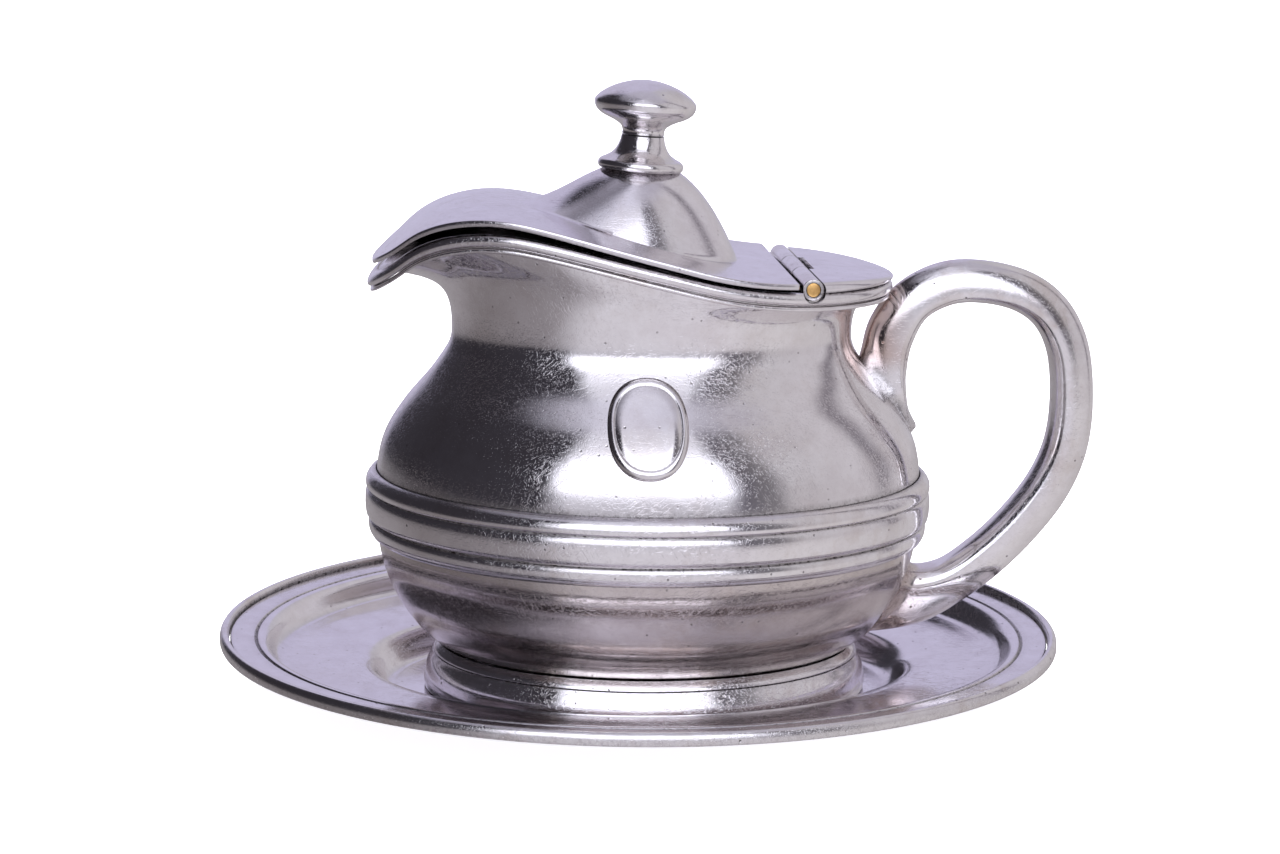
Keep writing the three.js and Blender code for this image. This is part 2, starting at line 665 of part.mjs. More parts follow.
function lidPlate() {
  const hole = STUD_DIAMETER / 2 + STUD_CLEARANCE;
  const drill = turned([[0, -12], [hole, -12], [hole, 6], [0, 6]], STUD_SIDES);
  return geometryOf(solid(lidSkin(0, LID_THICKNESS)).subtract(drill));
}

// The knob's outline above its seat, as points from its foot to its top.
function knobOutline() {
  const neck = FINIAL_NECK_RADIUS;
  const foot = FINIAL_FOOT_RADIUS;
  const button = BUTTON_RADIUS;
  const top = FINIAL_HEIGHT;
  const widest = top - BUTTON_DROP;
  const below = (share) => THREE.MathUtils.lerp(widest, FINIAL_SEAM, share);
  const above = (share) => widest + BUTTON_DROP * share;
  const curve = new THREE.SplineCurve(
    [
      [foot, 0.5],
      [foot - 1.7, 1.6],
      [neck + 0.8, FINIAL_SEAM * 0.57],
      [neck, FINIAL_SEAM],
      [neck + 0.15, below(0.84)],
      [button * 0.55, below(0.64)],
      [button * 0.79, below(0.45)],
      [button * 0.965, below(0.23)],
      [button, widest],
      [button * 0.91, above(0.25)],
      [button * 0.72, above(0.57)],
      [button * 0.45, above(0.82)],
      [0, top],
    ].map(([r, z]) => new THREE.Vector2(r, z)),
  );
  return curve.getPoints(20).map((p) => [Math.max(0, p.x), p.y]);
}

function finialBase() {
  const bore = STUD_DIAMETER / 2 + STUD_CLEARANCE;
  const seam = FINIAL_SEAM - SOLDER_GAP / 2;
  const outer = knobOutline().filter(([, z]) => z < seam - 0.2);
  const ring = [
    [bore, -2],
    [FINIAL_FOOT_RADIUS - 0.2, -2],
    [FINIAL_FOOT_RADIUS, 0.1],
    ...outer,
    [FINIAL_NECK_RADIUS, seam],
    [bore, seam],
    [bore, -2],
  ];
  return geometryOf(turned(ring, FINIAL_SIDES).subtract(solid(lidSkin(SEAT_GAP, LID_THICKNESS + 4))));
}

function finialKnob() {
  const stud = STUD_DIAMETER / 2;
  const seam = FINIAL_SEAM + SOLDER_GAP / 2;
  const outer = knobOutline().filter(([, z]) => z > seam + 0.2);
  const profile = [[0, -STUD_LENGTH], [stud, -STUD_LENGTH], [stud, seam], [FINIAL_NECK_RADIUS, seam], ...outer];
  return geometryOf(turned(profile, FINIAL_SIDES));
}

const nutTop = -0.2 - LID_THICKNESS - SOLDER_GAP;

function finialWasher() {
  const bore = STUD_DIAMETER / 2 + STUD_CLEARANCE;
  const rim = WASHER_DIAMETER / 2;
  const low = nutTop - WASHER_THICKNESS;
  return geometryOf(turned([[bore, low], [rim, low], [rim, nutTop], [bore, nutTop], [bore, low]], STUD_SIDES));
}

function finialNut() {
  const bore = STUD_DIAMETER / 2 + STUD_CLEARANCE;
  const corner = NUT_ACROSS_FLATS / 2 / Math.cos(Math.PI / 6);
  const high = nutTop - WASHER_THICKNESS - SOLDER_GAP;
  const low = high - NUT_THICKNESS;
  const body = turned([[0, low], [corner, low], [corner, high], [0, high]], 6);
  const drill = turned([[0, low - 1], [bore, low - 1], [bore, high + 1], [0, high + 1]], STUD_SIDES);
  return geometryOf(body.subtract(drill));
}

// ---------------------------------------------------------------- handle

// Middle line of the handle in the XZ plane, from the tip of the tail on the boat's shoulder, over
// the top, down to the root below the belt. Each row is the distance beyond the end of the boat,
// the height as a share of the way from the root to the neck, and the thickness there.
const handleLine = [
  [-3.2, 0.638, 1.4],
  [-5.0, 0.730, 4.0],
  [-7.6, 0.847, 8.2],
  [-7.2, 0.977, 9.8],
  [-3.2, 1.103, 9.1],
  [3.6, 1.171, 8.9],
  [11.0, 1.180, 8.6],
  [19.6, 1.144, 8.4],
  [25.3, 1.072, 8.3],
  [29.1, 0.955, 8.4],
  [30.9, 0.766, 8.7],
  [30.3, 0.577, 9.0],
  [27.1, 0.425, 9.2],
  [21.4, 0.279, 9.3],
  [14.5, 0.151, 9.5],
  [7.6, 0.059, 10.0],
  [0.7, 0.011, 12.6],
  [-6.6, -0.004, 14.0],
  [-13.6, 0.000, 15.0],
].map(([out, share, thickness]) => [
  BOAT_X + BOAT_HALF_LENGTH + out,
  THREE.MathUtils.lerp(HANDLE_ROOT_HEIGHT, NECK_HEIGHT, share),
  thickness,
]);

function handle() {
  const curve = new THREE.CatmullRomCurve3(handleLine.map(([x, z]) => point(x, 0, z)), false, 'centripetal');
  const last = handleLine.length - 1;
  const rings = [];
  for (let i = 0; i <= HANDLE_STEPS; i++) {
    const t = i / HANDLE_STEPS;
    const at = curve.getPoint(t);
    const along = curve.getTangent(t);
    const outward = point(-along.z, 0, along.x);
    const span = t * last;
    const k = Math.min(last - 1, Math.floor(span));
    const thickness = THREE.MathUtils.lerp(handleLine[k][2], handleLine[k + 1][2], span - k);
    const half = thickness / 2;
    const width = HANDLE_HALF_WIDTH * Math.min(1, 0.35 + half / 4.4);
    const edge = -half * HANDLE_EDGE_BACK;
    rings.push(
      turns(HANDLE_SIDES).map((turn) => {
        const c = Math.cos(turn);
        const s = Math.sin(turn);
        const depth = c > 0 ? (half - edge) * c : (half + edge) * c;
        return at.clone().addScaledVector(outward, edge + depth).add(point(0, -width * s, 0));
      }),
    );
  }
  const end = (ring) => [ring.reduce((sum, p) => sum.add(p), point(0, 0, 0)).divideScalar(ring.length)];
  const bar = solid(skin([end(rings[0]), ...rings, end(rings[HANDLE_STEPS])]));
  return geometryOf(bar.subtract(bodyCutter(SEAT_GAP)).subtract(beltCutter()).subtract(heelCutter()));
}

// The boat's whole outer shape, grown by a gap.
function bodyCutter(gap) {
  const rings = [
    ...[...lowerHeights, ...upperHeights].map((z) => bowlRing(gap, z)),
    ...throatShares.map((s) => throatRing(s, gap)),
  ];
  const top = rings[rings.length - 1].map((p) => point(p.x, p.y, p.z + 3));
  const ends = [[point(BOAT_X, 0, BOWL_FLOOR)], [point(BOAT_X, 0, crest(1) + 3)]];
  return solid(skin([ends[0], ...rings, top, ends[1]]));
}

// The room taken by rim and heel plate at the heel, grown by a gap.
function heelCutter() {
  const low = rimTop(HINGE_X) - RIM_HEIGHT - RIM_BEAD - SEAT_GAP * 2;
  const ring = (z) => turns(SIDES).map((t) => mouthPoint(t, SEAT_GAP)).map((p) => point(p.x, p.y, z));
  return solid(skin([[point(BOAT_X, 0, low)], ring(low), ring(low + 9), [point(BOAT_X, 0, low + 9)]]));
}

function beltCutter() {
  const a = BELT_HALF_LENGTH + SEAT_GAP;
  return solid(
    skin([
      [point(BOAT_X, 0, BELT_BOTTOM - SEAT_GAP)],
      oval(BOAT_X, a, a - NARROWING, BELT_BOTTOM - SEAT_GAP),
      oval(BOAT_X, a, a - NARROWING, BELT_TOP + SEAT_GAP),
      [point(BOAT_X, 0, BELT_TOP + SEAT_GAP)],
    ]),
  );
}

// ---------------------------------------------------------------- plaque

function plaque() {
  const outline = new THREE.Shape();
  outline.absellipse(0, 0, PLAQUE_HALF_WIDTH, PLAQUE_HALF_HEIGHT, 0, 2 * Math.PI);
  const depth = BOAT_HALF_LENGTH;
  const column = new THREE.ExtrudeGeometry(outline, { depth, bevelEnabled: false, curveSegments: 12 });
  column.rotateX(Math.PI / 2);
  column.translate(PLAQUE_X, (NARROWING - BOAT_HALF_LENGTH) / 2, PLAQUE_HEIGHT);
  const outer = bodyCutter(SEAT_GAP + PLAQUE_THICKNESS);
  return geometryOf(solid(column).intersect(outer).subtract(bodyCutter(SEAT_GAP)));
}

// ---------------------------------------------------------------- materials and assembly

const silver = { color: 0xc9c5cf, roughness: 0.24, metalness: 1 };
const wornSilver = { color: 0xbdb6b8, roughness: 0.34, metalness: 1 };
const brass = { color: 0xb98a4a, roughness: 0.38, metalness: 1 };
const steel = { color: 0x9a9a9c, roughness: 0.4, metalness: 1 };

const part = new THREE.Group();

function add(name, geometry, finish) {
  const mesh = new THREE.Mesh(geometry, new THREE.MeshStandardMaterial(finish));
  mesh.name = name;
  part.add(mesh);
}

add('tray_plate', trayPlate(), silver);
add('tray_border', trayBorder(), wornSilver);
add('foot_ring', footRing(), wornSilver);
add('foot_neck', footNeck(), wornSilver);
add('bowl_lower', bowlLower(), silver);
add('belt_moulding', beltMoulding(), wornSilver);
add('body_upper', bodyUpper(), silver);
add('rim_moulding', rimMoulding(), silver);
add('rim_bead', rimBead(), silver);
add('heel_plate', heelPlate(), wornSilver);
add('hinge_knuckle_near', geometryOf(knuckle(-HINGE_HALF, LID_KNUCKLE_FROM - KNUCKLE_GAP)), wornSilver);
add('hinge_knuckle_far', geometryOf(knuckle(LID_KNUCKLE_TO + KNUCKLE_GAP, HINGE_HALF)), wornSilver);
add('hinge_pin', hingePin(), brass);
add('lid_knuckle', lidKnuckle(), silver);
add('lid_plate', lidPlate(), silver);
add('finial_base', finialBase(), silver);
add('finial_knob', finialKnob(), silver);
add('finial_washer', finialWasher(), steel);
add('finial_nut', finialNut(), brass);
add('handle', handle(), wornSilver);
add('plaque', plaque(), silver);

export default part;
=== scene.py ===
"""Looks of the silver covered sauce boat on its underplate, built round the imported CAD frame."""

import math

import bpy
import numpy as np
from mathutils import Matrix, Vector


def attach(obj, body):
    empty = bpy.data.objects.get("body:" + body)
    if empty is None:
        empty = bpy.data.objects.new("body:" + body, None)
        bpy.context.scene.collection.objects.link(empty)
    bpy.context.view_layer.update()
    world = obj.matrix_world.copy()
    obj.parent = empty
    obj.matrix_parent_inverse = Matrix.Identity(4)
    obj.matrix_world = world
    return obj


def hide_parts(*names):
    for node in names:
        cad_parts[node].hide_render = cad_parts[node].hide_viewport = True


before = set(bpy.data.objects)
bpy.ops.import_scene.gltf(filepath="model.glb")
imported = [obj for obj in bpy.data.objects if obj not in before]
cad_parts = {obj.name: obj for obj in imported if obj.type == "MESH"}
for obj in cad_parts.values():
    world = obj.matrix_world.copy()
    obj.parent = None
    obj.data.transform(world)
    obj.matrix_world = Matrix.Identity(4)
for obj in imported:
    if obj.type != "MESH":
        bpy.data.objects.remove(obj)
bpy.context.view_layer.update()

MM = 0.001
TAU = 2 * math.pi

# ---------------------------------------------------------------- dimensions, in millimetres

TRAY_A, TRAY_B = 84.8, 64.7
TRAY_THICK = 0.8
TRAY_STEP = 6.9  # from the edge in to where the tray's own proportions end
WELL_WALL = 5.0  # length of the well's rising wall
WELL_LEAN = 1.8  # how much less the well narrows across than along
WELL_A, WELL_B = 55.3, 34.2
BOAT_X = 1.0
NARROWING = 15.0  # half length less half width, for foot, bowl and belt
WALL = 1.2
NECK_Z = 74.5
NECK_A = 39.6
MOUTH_SPOUT, MOUTH_HEEL = 56.0, 47.2
MOUTH_B = 30.5
HINGE_X, HINGE_Z = 29.2, 86.2
HINGE_HALF = 23.4
LID_TUBE_HALF = 7.4
FIXED_TUBE_FROM = 7.6
BARREL_R = 2.05
PIN_R = 1.35
PIN_CLEARANCE = 0.06
LID_REAR = 26.0
LID_THICK = 1.1
LID_OVERHANG = 0.3
LID_TIP_INSET = 1.0
DOME_X, DOME_TOP = -2.3, 107.6
DOME_A, DOME_B = 19.8, 16.0
DOME_RUNOUT = 3.5
KNOB_X = -2.0
SEAT_Z = DOME_TOP - 0.9
LEAN = math.radians(3.5)
PLAQUE_X, PLAQUE_Z, PLAQUE_W, PLAQUE_H = -2.1, 61.3, 7.5, 8.4


# ---------------------------------------------------------------- curves and meshes


def spline(points):
    """A Catmull-Rom curve through [x, y] points whose x rises, as a function of x."""
    pts = np.array(points, float)
    ext = np.vstack([pts[0], pts, pts[-1]])
    out = []
    for i in range(1, len(ext) - 2):
        p0, p1, p2, p3 = ext[i - 1 : i + 3]
        t = np.linspace(0, 1, 24, endpoint=False)[:, None]
        a = (p2 - p0) / 2
        b = (p3 - p1) / 2
        out.append(
            (2 * t**3 - 3 * t**2 + 1) * p1
            + (t**3 - 2 * t**2 + t) * a
            + (-2 * t**3 + 3 * t**2) * p2
            + (t**3 - t**2) * b
        )
    out = np.vstack(out + [pts[-1:]])
    return lambda x: np.interp(x, out[:, 0], out[:, 1])


def path(points, steps):
    """A smooth open path through any points, centripetal, sampled evenly by parameter."""
    pts = np.array(points, float)
    ext = np.vstack([2 * pts[0] - pts[1], pts, 2 * pts[-1] - pts[-2]])
    out = []
    for i in range(1, len(ext) - 2):
        p0, p1, p2, p3 = ext[i - 1 : i + 3]
        d = [max(np.linalg.norm(b - a) ** 0.5, 1e-6) for a, b in ((p0, p1), (p1, p2), (p2, p3))]
        t1 = ((p1 - p0) / d[0] - (p2 - p0) / (d[0] + d[1]) + (p2 - p1) / d[1]) * d[1]
        t2 = ((p2 - p1) / d[1] - (p3 - p1) / (d[1] + d[2]) + (p3 - p2) / d[2]) * d[1]
        t = np.linspace(0, 1, steps, endpoint=False)[:, None]
        out.append(
            (2 * t**3 - 3 * t**2 + 1) * p1
            + (t**3 - 2 * t**2 + t) * t1
            + (-2 * t**3 + 3 * t**2) * p2
            + (t**3 - t**2) * t2
        )
    return np.vstack(out + [pts[-1:]])


def arc(cx, cy, rx, ry, start, end, steps):
    """Points on an elliptic arc, between two angles in degrees."""
    t = np.radians(np.linspace(start, end, steps + 1))
    return [(cx + rx * math.cos(a), cy + ry * math.sin(a)) for a in t]


def add_mesh(name, verts, faces, body, material, replaces=(), sharp=32.0, tarnish_and_shade=None):
    """A piece from vertices in millimetres, with a darkening value per vertex, 0 clean to 1 dark:
    tarnish in the hollows together with painted shade in grooves, joins and undersides.
    """
    mesh = bpy.data.meshes.new(name)
    mesh.from_pydata((np.array(verts) * MM).tolist(), [], faces)
    mesh.validate()
    mesh.update()
    layer = mesh.attributes.new("tarnish_and_shade", "FLOAT", "POINT")
    values = np.zeros(len(mesh.vertices)) if tarnish_and_shade is None else np.array(tarnish_and_shade, float)
    layer.data.foreach_set("value", values)
    mesh.shade_smooth()
    mesh.set_sharp_from_angle(angle=math.radians(sharp))
    obj = bpy.data.objects.new(name, mesh)
    bpy.context.collection.objects.link(obj)
    obj.data.materials.append(material)
    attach(obj, body)
    if replaces:
        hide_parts(*replaces)
    return obj


def rings_to_mesh(rings, looped=False, tips=(None, None)):
    """Vertices and faces of a skin over equal closed rings, each (N, 3)."""
    n = len(rings[0])
    verts = [tuple(p) for ring in rings for p in ring]
    faces = []
    count = len(rings)
    for i in range(count if looped else count - 1):
        a = i * n
        b = ((i + 1) % count) * n
        for j in range(n):
            k = (j + 1) % n
            faces.append((a + j, a + k, b + k, b + j))
    if tips[0] is not None:
        verts.append(tuple(tips[0]))
        c = len(verts) - 1
        faces += [(c, (j + 1) % n, j) for j in range(n)]
    if tips[1] is not None:
        verts.append(tuple(tips[1]))
        c = len(verts) - 1
        last = (count - 1) * n
        faces += [(c, last + j, last + (j + 1) % n) for j in range(n)]
    return verts, faces


def angles(n):
    """Even angles round a full turn, the last one short of the first."""
    return np.arange(n) * TAU / n


def oval(x, a, b, z, n=256):
    """A level ellipse of half length a and half width b, its middle at x."""
    t = angles(n)
    return np.column_stack([x + a * np.cos(t), b * np.sin(t), np.full(n, float(z))])


def tarnish_and_shade_of(rings, values):
    """A darkening value per vertex (tarnish and painted shade), from one value per ring."""
    return np.concatenate([np.full(len(r), v) for r, v in zip(rings, values)])


def last_of(rows):
    """The darkening column (tarnish and painted shade) of a table whose rows end with it."""
    return [row[-1] for row in rows]


# ---------------------------------------------------------------- materials


class Nodes:
    """A short way to write a node tree: every value may be a number or another node's output."""

    def __init__(self, name):
        self.material = bpy.data.materials.new(name)
        self.material.use_nodes = True
        self.tree = self.material.node_tree
        self.tree.nodes.clear()
        self.out = self.tree.nodes.new("ShaderNodeOutputMaterial")
        self.coord = self.tree.nodes.new("ShaderNodeTexCoord").outputs["Object"]

    def put(self, socket, value):
        if hasattr(value, "is_linked"):
            self.tree.links.new(value, socket)
        else:
            socket.default_value = value

    def node(self, kind, inputs=None, **props):
        n = self.tree.nodes.new(kind)
        for key, value in props.items():
            setattr(n, key, value)
        for key, value in (inputs or {}).items():
            self.put(n.inputs[key], value)
        return n

    def math(self, op, a, b=0.0, clamp=False):
        return self.node("ShaderNodeMath", {0: a, 1: b}, operation=op, use_clamp=clamp).outputs[0]

    def ramp(self, value, low, high):
        return self.node(
            "ShaderNodeMapRange", {0: value, 1: low, 2: high, 3: 0.0, 4: 1.0}, clamp=True
        ).outputs[0]

    def mapped(self, scale):
        return self.node("ShaderNodeMapping", {"Vector": self.coord, "Scale": scale}).outputs[0]

    def noise(self, scale, detail=3.0, vector=None, rough=0.55, distort=0.0):
        return self.node(
            "ShaderNodeTexNoise",
            {
                "Vector": vector or self.coord,
                "Scale": scale,
                "Detail": detail,
                "Roughness": rough,
                "Distortion": distort,
            },
        ).outputs["Fac"]

    def mix(self, factor, a, b):
        n = self.node("ShaderNodeMix", data_type="RGBA")
        self.put(n.inputs[0], factor)
        self.put(n.inputs[6], a)
        self.put(n.inputs[7], b)
        return n.outputs[2]


# Strokes in the metal: angle in the plane of the surface, fineness, and length over width.
HAIRLINES = (
    (0.35, 3600, 22),
    (-0.6, 4200, 16),
    (1.15, 4000, 26),
    (1.65, 3400, 30),
    (-1.2, 4600, 18),
)
SHORT_STROKES = ((0.9, 2900, 7.0), (-0.45, 3300, 6.0), (1.5, 3100, 9.0))


# Depths of the relief, in metres.
WAVE_DEPTH, DENT_DEPTH, GRAIN_DEPTH = 0.00055, 0.00006, 0.0000005
HAIRLINE_DEPTH, STROKE_DEPTH, PIT_DEPTH = 0.0000055, 0.000014, 0.00005

STAIN_BROWN = (0.56, 0.47, 0.41, 1)
PIT_BLACK = (0.10, 0.085, 0.08, 1)
# Near-black for grooves, joins and undersides: tarnish together with painted shade.
GROOVE_TARNISH_AND_SHADE = (0.055, 0.045, 0.042, 1)
TARNISH_BROWN = (0.40, 0.20, 0.11, 1)


def streaks(g, turn, fine, stretch, low, high):
    """Strokes along one direction: noise drawn out along the turned Z axis, cut to thin lines."""
    v = g.node(
        "ShaderNodeMapping",
        {"Vector": g.coord, "Rotation": turn, "Scale": (1, 1, stretch)},
        vector_type="TEXTURE",
    ).outputs[0]
    return g.ramp(g.noise(fine, 2.0, v, 0.55), low, high)


def silver(name, tint, rough=0.1, scratch=1.0, pits=1.0, wave=1.0, brown=0.0, level=False, stained=0.3):
    """Worn silver plate: crossing hairlines, short strokes, pits, dents, and tarnish in the grooves,
    which also carry painted shade.

    Strokes lie in the upright long plane, or level on the pieces that are seen from above."""
    g = Nodes(name)
    tarnish_and_shade = g.node("ShaderNodeAttribute", attribute_name="tarnish_and_shade").outputs["Fac"]

    def turn(angle):
        return (math.pi / 2, 0, angle) if level else (0, angle, 0)

    def strokes(kinds, low, high):
        """The strongest of several directions, each an angle, a fineness and a stretch."""
        found = None
        for angle, fine, stretch in kinds:
            one = streaks(g, turn(angle), fine, stretch, low, high)
            found = one if found is None else g.math("MAXIMUM", found, one)
        return found

    lines = strokes(HAIRLINES, 0.655, 0.71)
    flecks = strokes(SHORT_STROKES, 0.60, 0.70)
    patch = g.ramp(g.noise(42, 3.0), 0.40, 0.60)
    flecks = g.math("MULTIPLY", flecks, g.math("ADD", g.math("MULTIPLY", patch, 0.85), 0.15))
    # pits: a small dot in a few of the cells
    cells = g.node("ShaderNodeTexVoronoi", {"Vector": g.coord, "Scale": 620.0, "Randomness": 1.0})
    dot = g.ramp(cells.outputs["Distance"], 0.18, 0.07)
    red = g.node("ShaderNodeSeparateColor", {0: cells.outputs["Color"]}).outputs[0]
    chosen = g.ramp(red, 0.84, 0.86)
    pit = g.math("MULTIPLY", dot, chosen)
    broad = g.noise(26, 1.5)
    dents = g.noise(110, 2.0)
    film = g.noise(170, 6.0, rough=0.7)
    grain = g.noise(5200, 2.0)

    height = g.math("MULTIPLY", broad, WAVE_DEPTH * wave)
    height = g.math("ADD", height, g.math("MULTIPLY", dents, DENT_DEPTH * wave))
    height = g.math("ADD", height, g.math("MULTIPLY", grain, GRAIN_DEPTH))
    height = g.math("SUBTRACT", height, g.math("MULTIPLY", lines, HAIRLINE_DEPTH * scratch))
    height = g.math("SUBTRACT", height, g.math("MULTIPLY", flecks, STROKE_DEPTH * scratch))
    height = g.math("SUBTRACT", height, g.math("MULTIPLY", pit, PIT_DEPTH * pits))
    bump = g.node("ShaderNodeBump", {"Strength": 1.0, "Distance": 1.0, "Height": height})

    roughness = g.math("ADD", g.math("MULTIPLY", g.ramp(film, 0.35, 0.7), 0.05), rough)
    roughness = g.math("ADD", roughness, g.math("MULTIPLY", flecks, 0.12))
    roughness = g.math("ADD", roughness, g.math("MULTIPLY", lines, 0.06))
    roughness = g.math("ADD", roughness, g.math("MULTIPLY", tarnish_and_shade, 0.30), clamp=True)

    dull = (tint[0] * 0.88, tint[1] * 0.86, tint[2] * 0.86, 1)
    color = g.mix(g.ramp(film, 0.35, 0.75), (*tint, 1), dull)
    stain = g.math("MULTIPLY", g.ramp(g.noise(70, 5.0, rough=0.7), 0.52, 0.74), stained)
    color = g.mix(stain, color, STAIN_BROWN)
    color = g.mix(g.math("MULTIPLY", pit, 0.8 * min(1.0, pits)), color, PIT_BLACK)
    # Painted shade with tarnish: the per-vertex value darkens grooves, joins and undersides towards
    # near-black, speckled.
    speckle = g.ramp(g.noise(1500, 3.0, rough=0.65), 0.5, 0.62)
    dark = g.math("MULTIPLY", tarnish_and_shade, g.math("ADD", g.math("MULTIPLY", speckle, 0.5), 0.5), clamp=True)
    color = g.mix(dark, color, GROOVE_TARNISH_AND_SHADE)
    if brown:
        warm = g.node("ShaderNodeAttribute", attribute_name="warm").outputs["Fac"]
        cloud = g.math("ADD", g.math("MULTIPLY", g.noise(120, 4.0), 0.8), 0.55)
        warm = g.math("MULTIPLY", warm, cloud, clamp=True)
        color = g.mix(warm, color, TARNISH_BROWN)
    shader = g.node(
        "ShaderNodeBsdfPrincipled",
        {
            "Base Color": color,
            "Metallic": 1.0,
            "Roughness": roughness,
            "Normal": bump.outputs[0],
        },
    )
    g.tree.links.new(shader.outputs[0], g.out.inputs["Surface"])
    return g.material


# The slight lavender tint on the level pieces, tray and lid, is a painted reflection of the lavender
# ceiling their tops face.
LAVENDER_REFLECTION_TINT = (0.87, 0.85, 0.88)
NEUTRAL = (0.87, 0.85, 0.86)
m_tray = silver("tray_silver", LAVENDER_REFLECTION_TINT, 0.09, 0.7, 0.5, 0.6, level=True, stained=0.15)
m_border = silver("border_silver", NEUTRAL, 0.11, 1.0, 2.2, 0.7, level=True, stained=0.6)
m_body = silver("body_silver", NEUTRAL, 0.035, 1.0, 0.6, 1.0, stained=0.25)
# The lower bowl's darker tint is painted shade on its downward-facing wall; its brown stains are
# tarnish.
m_bowl_shaded = silver("bowl_silver", (0.66, 0.61, 0.59), 0.07, 1.0, 0.8, 1.0, stained=0.6)
m_belt = silver("belt_silver", NEUTRAL, 0.05, 1.2, 0.9, 0.8, stained=0.5)
m_lid = silver("lid_silver", LAVENDER_REFLECTION_TINT, 0.08, 0.8, 0.4, 0.8, level=True, stained=0.2)
m_knob = silver("knob_silver", NEUTRAL, 0.04, 0.8, 0.8, 0.6, stained=0.3)
m_handle = silver("handle_silver", NEUTRAL, 0.05, 1.0, 1.2, 0.8, brown=1.0, stained=0.5)


def plain_metal(name, color, rough, darker):
    """Brass or steel with a blotchy film and fine lines drawn along Y."""
    g = Nodes(name)
    film = g.ramp(g.noise(900, 5.0, rough=0.7), 0.35, 0.7)
    tone = g.mix(film, (*color, 1), (*darker, 1))
    drawn = g.noise(2600, 2.0, g.mapped((1, 0.03, 1)))
    bump = g.node("ShaderNodeBump", {"Distance": 1.0, "Height": g.math("MULTIPLY", drawn, 0.000012)})
    shader = g.node(
        "ShaderNodeBsdfPrincipled",
        {
            "Base Color": tone,
            "Metallic": 1.0,
            "Roughness": g.math("ADD", g.math("MULTIPLY", film, 0.15), rough),
            "Normal": bump.outputs[0],
        },
    )
    g.tree.links.new(shader.outputs[0], g.out.inputs["Surface"])
    return g.material


m_brass = plain_metal("pin_brass", (0.86, 0.56, 0.22), 0.30, (0.58, 0.33, 0.12))
m_steel = plain_metal("washer_steel", (0.62, 0.61, 0.60), 0.32, (0.44, 0.42, 0.40))

# ---------------------------------------------------------------- underplate

TRAY_INSET = TRAY_A - TRAY_B
WELL_INSET = WELL_A - WELL_B


def tray_ring(a, z, n=320):
    """The tray's oval at half length a: the well's proportions go over to the tray's."""
    outer = TRAY_A - TRAY_STEP
    floor = WELL_A - WELL_WALL
    t = min(1.0, max(0.0, (a - WELL_A) / (outer - WELL_A)))
    inset = WELL_INSET + (TRAY_INSET - WELL_INSET) * t
    lean = WELL_LEAN * min(1.0, max(0.0, (WELL_A - a) / WELL_WALL))
    b = a - inset + lean
    if a < floor:
        b = (floor - WELL_INSET + WELL_LEAN) * a / floor
    return oval(0, a, b, z, n)


tray_top = [
    (25.0, 0.8, 0),
    (46.0, 0.8, 0),
    (50.0, 0.82, 0.05),
    (51.2, 1.1, 0.05),
    (52.2, 1.9, 0),
    (53.0, 3.0, 0),
    (53.6, 4.05, 0),
    (54.2, 4.95, 0),
    (54.9, 5.75, 0),
    (55.7, 6.3, 0),
    (56.8, 6.7, 0),
    (58.6, 6.95, 0),
    (64.0, 7.25, 0),
    (70.0, 7.55, 0),
    (72.2, 7.7, 0.05),
    (73.2, 8.0, 0.12),
    (74.0, 8.7, 0.08),
    (74.5, 9.7, 0),
    (74.9, 10.7, 0),
    (75.4, 11.55, 0),
    (76.1, 12.1, 0),
    (76.8, 12.3, 0),
    (77.2, 12.28, 0.15),
    (77.4, 12.02, 0.95),
    (77.6, 11.95, 1.0),
    (77.8, 12.05, 0.95),
    (78.0, 12.32, 0.15),
    (79.5, 12.44, 0),
    (82.0, 12.56, 0),
    (82.5, 12.58, 0.2),
    (82.7, 12.35, 0.9),
]
underside = [tray_ring(a, z - TRAY_THICK) for a, z, _ in tray_top]
top = [tray_ring(a, z) for a, z, _ in reversed(tray_top)]
verts, faces = rings_to_mesh(underside + top, tips=((0, 0, 0.0), (0, 0, TRAY_THICK)))
# The tray's underside is slightly darkened as painted shade; its groove rows add tarnish.
values = [0.1] * len(underside) + last_of(tray_top)[::-1]
tarnish_and_shade = np.concatenate([tarnish_and_shade_of(underside + top, values), [0.1, 0]])
add_mesh("tray_plate_fine", verts, faces, "boat", m_tray, ["tray_plate"], 40, tarnish_and_shade)

border = [
    (82.95, 11.4, 0.3),
    (84.3, 11.42, 0.5),
    (84.68, 11.6, 0.4),
    (84.8, 12.0, 0.25),
    (84.78, 12.7, 0.2),
    (84.66, 13.3, 0.1),
    (84.4, 13.72, 0.05),
    (84.05, 13.95, 0),
    (83.75, 14.0, 0),
    (83.45, 13.95, 0),
    (83.18, 13.72, 0),
    (83.0, 13.35, 0.25),
    (82.92, 12.9, 0.8),
    (82.9, 12.3, 1.0),
]
rings = [oval(0, a, a - TRAY_INSET, z, 320) for a, z, _ in border]
verts, faces = rings_to_mesh(rings, True)
tarnish_and_shade = tarnish_and_shade_of(rings, last_of(border))
add_mesh("tray_border_fine", verts, faces, "boat", m_border, ["tray_border"], 50, tarnish_and_shade)

# ---------------------------------------------------------------- boat below the rim

bowl_a = spline(
    [
        (8.0, 36.0),
        (10.4, 41.4),
        (15.1, 46.7),
        (22.0, 51.2),
        (30.0, 53.8),
        (40.0, 54.6),
        (48.0, 54.2),
        (54.0, 52.6),
        (60.0, 48.9),
        (66.0, 43.9),
        (70.2, 41.0),
        (NECK_Z - 2.2, NECK_A + 0.35),
        (NECK_Z, NECK_A),
        (NECK_Z + 2.2, NECK_A + 0.35),
    ]
)


def bowl_ring(offset, z):
    a = float(bowl_a(z)) + offset
    return oval(BOAT_X, a, a - NARROWING, z)


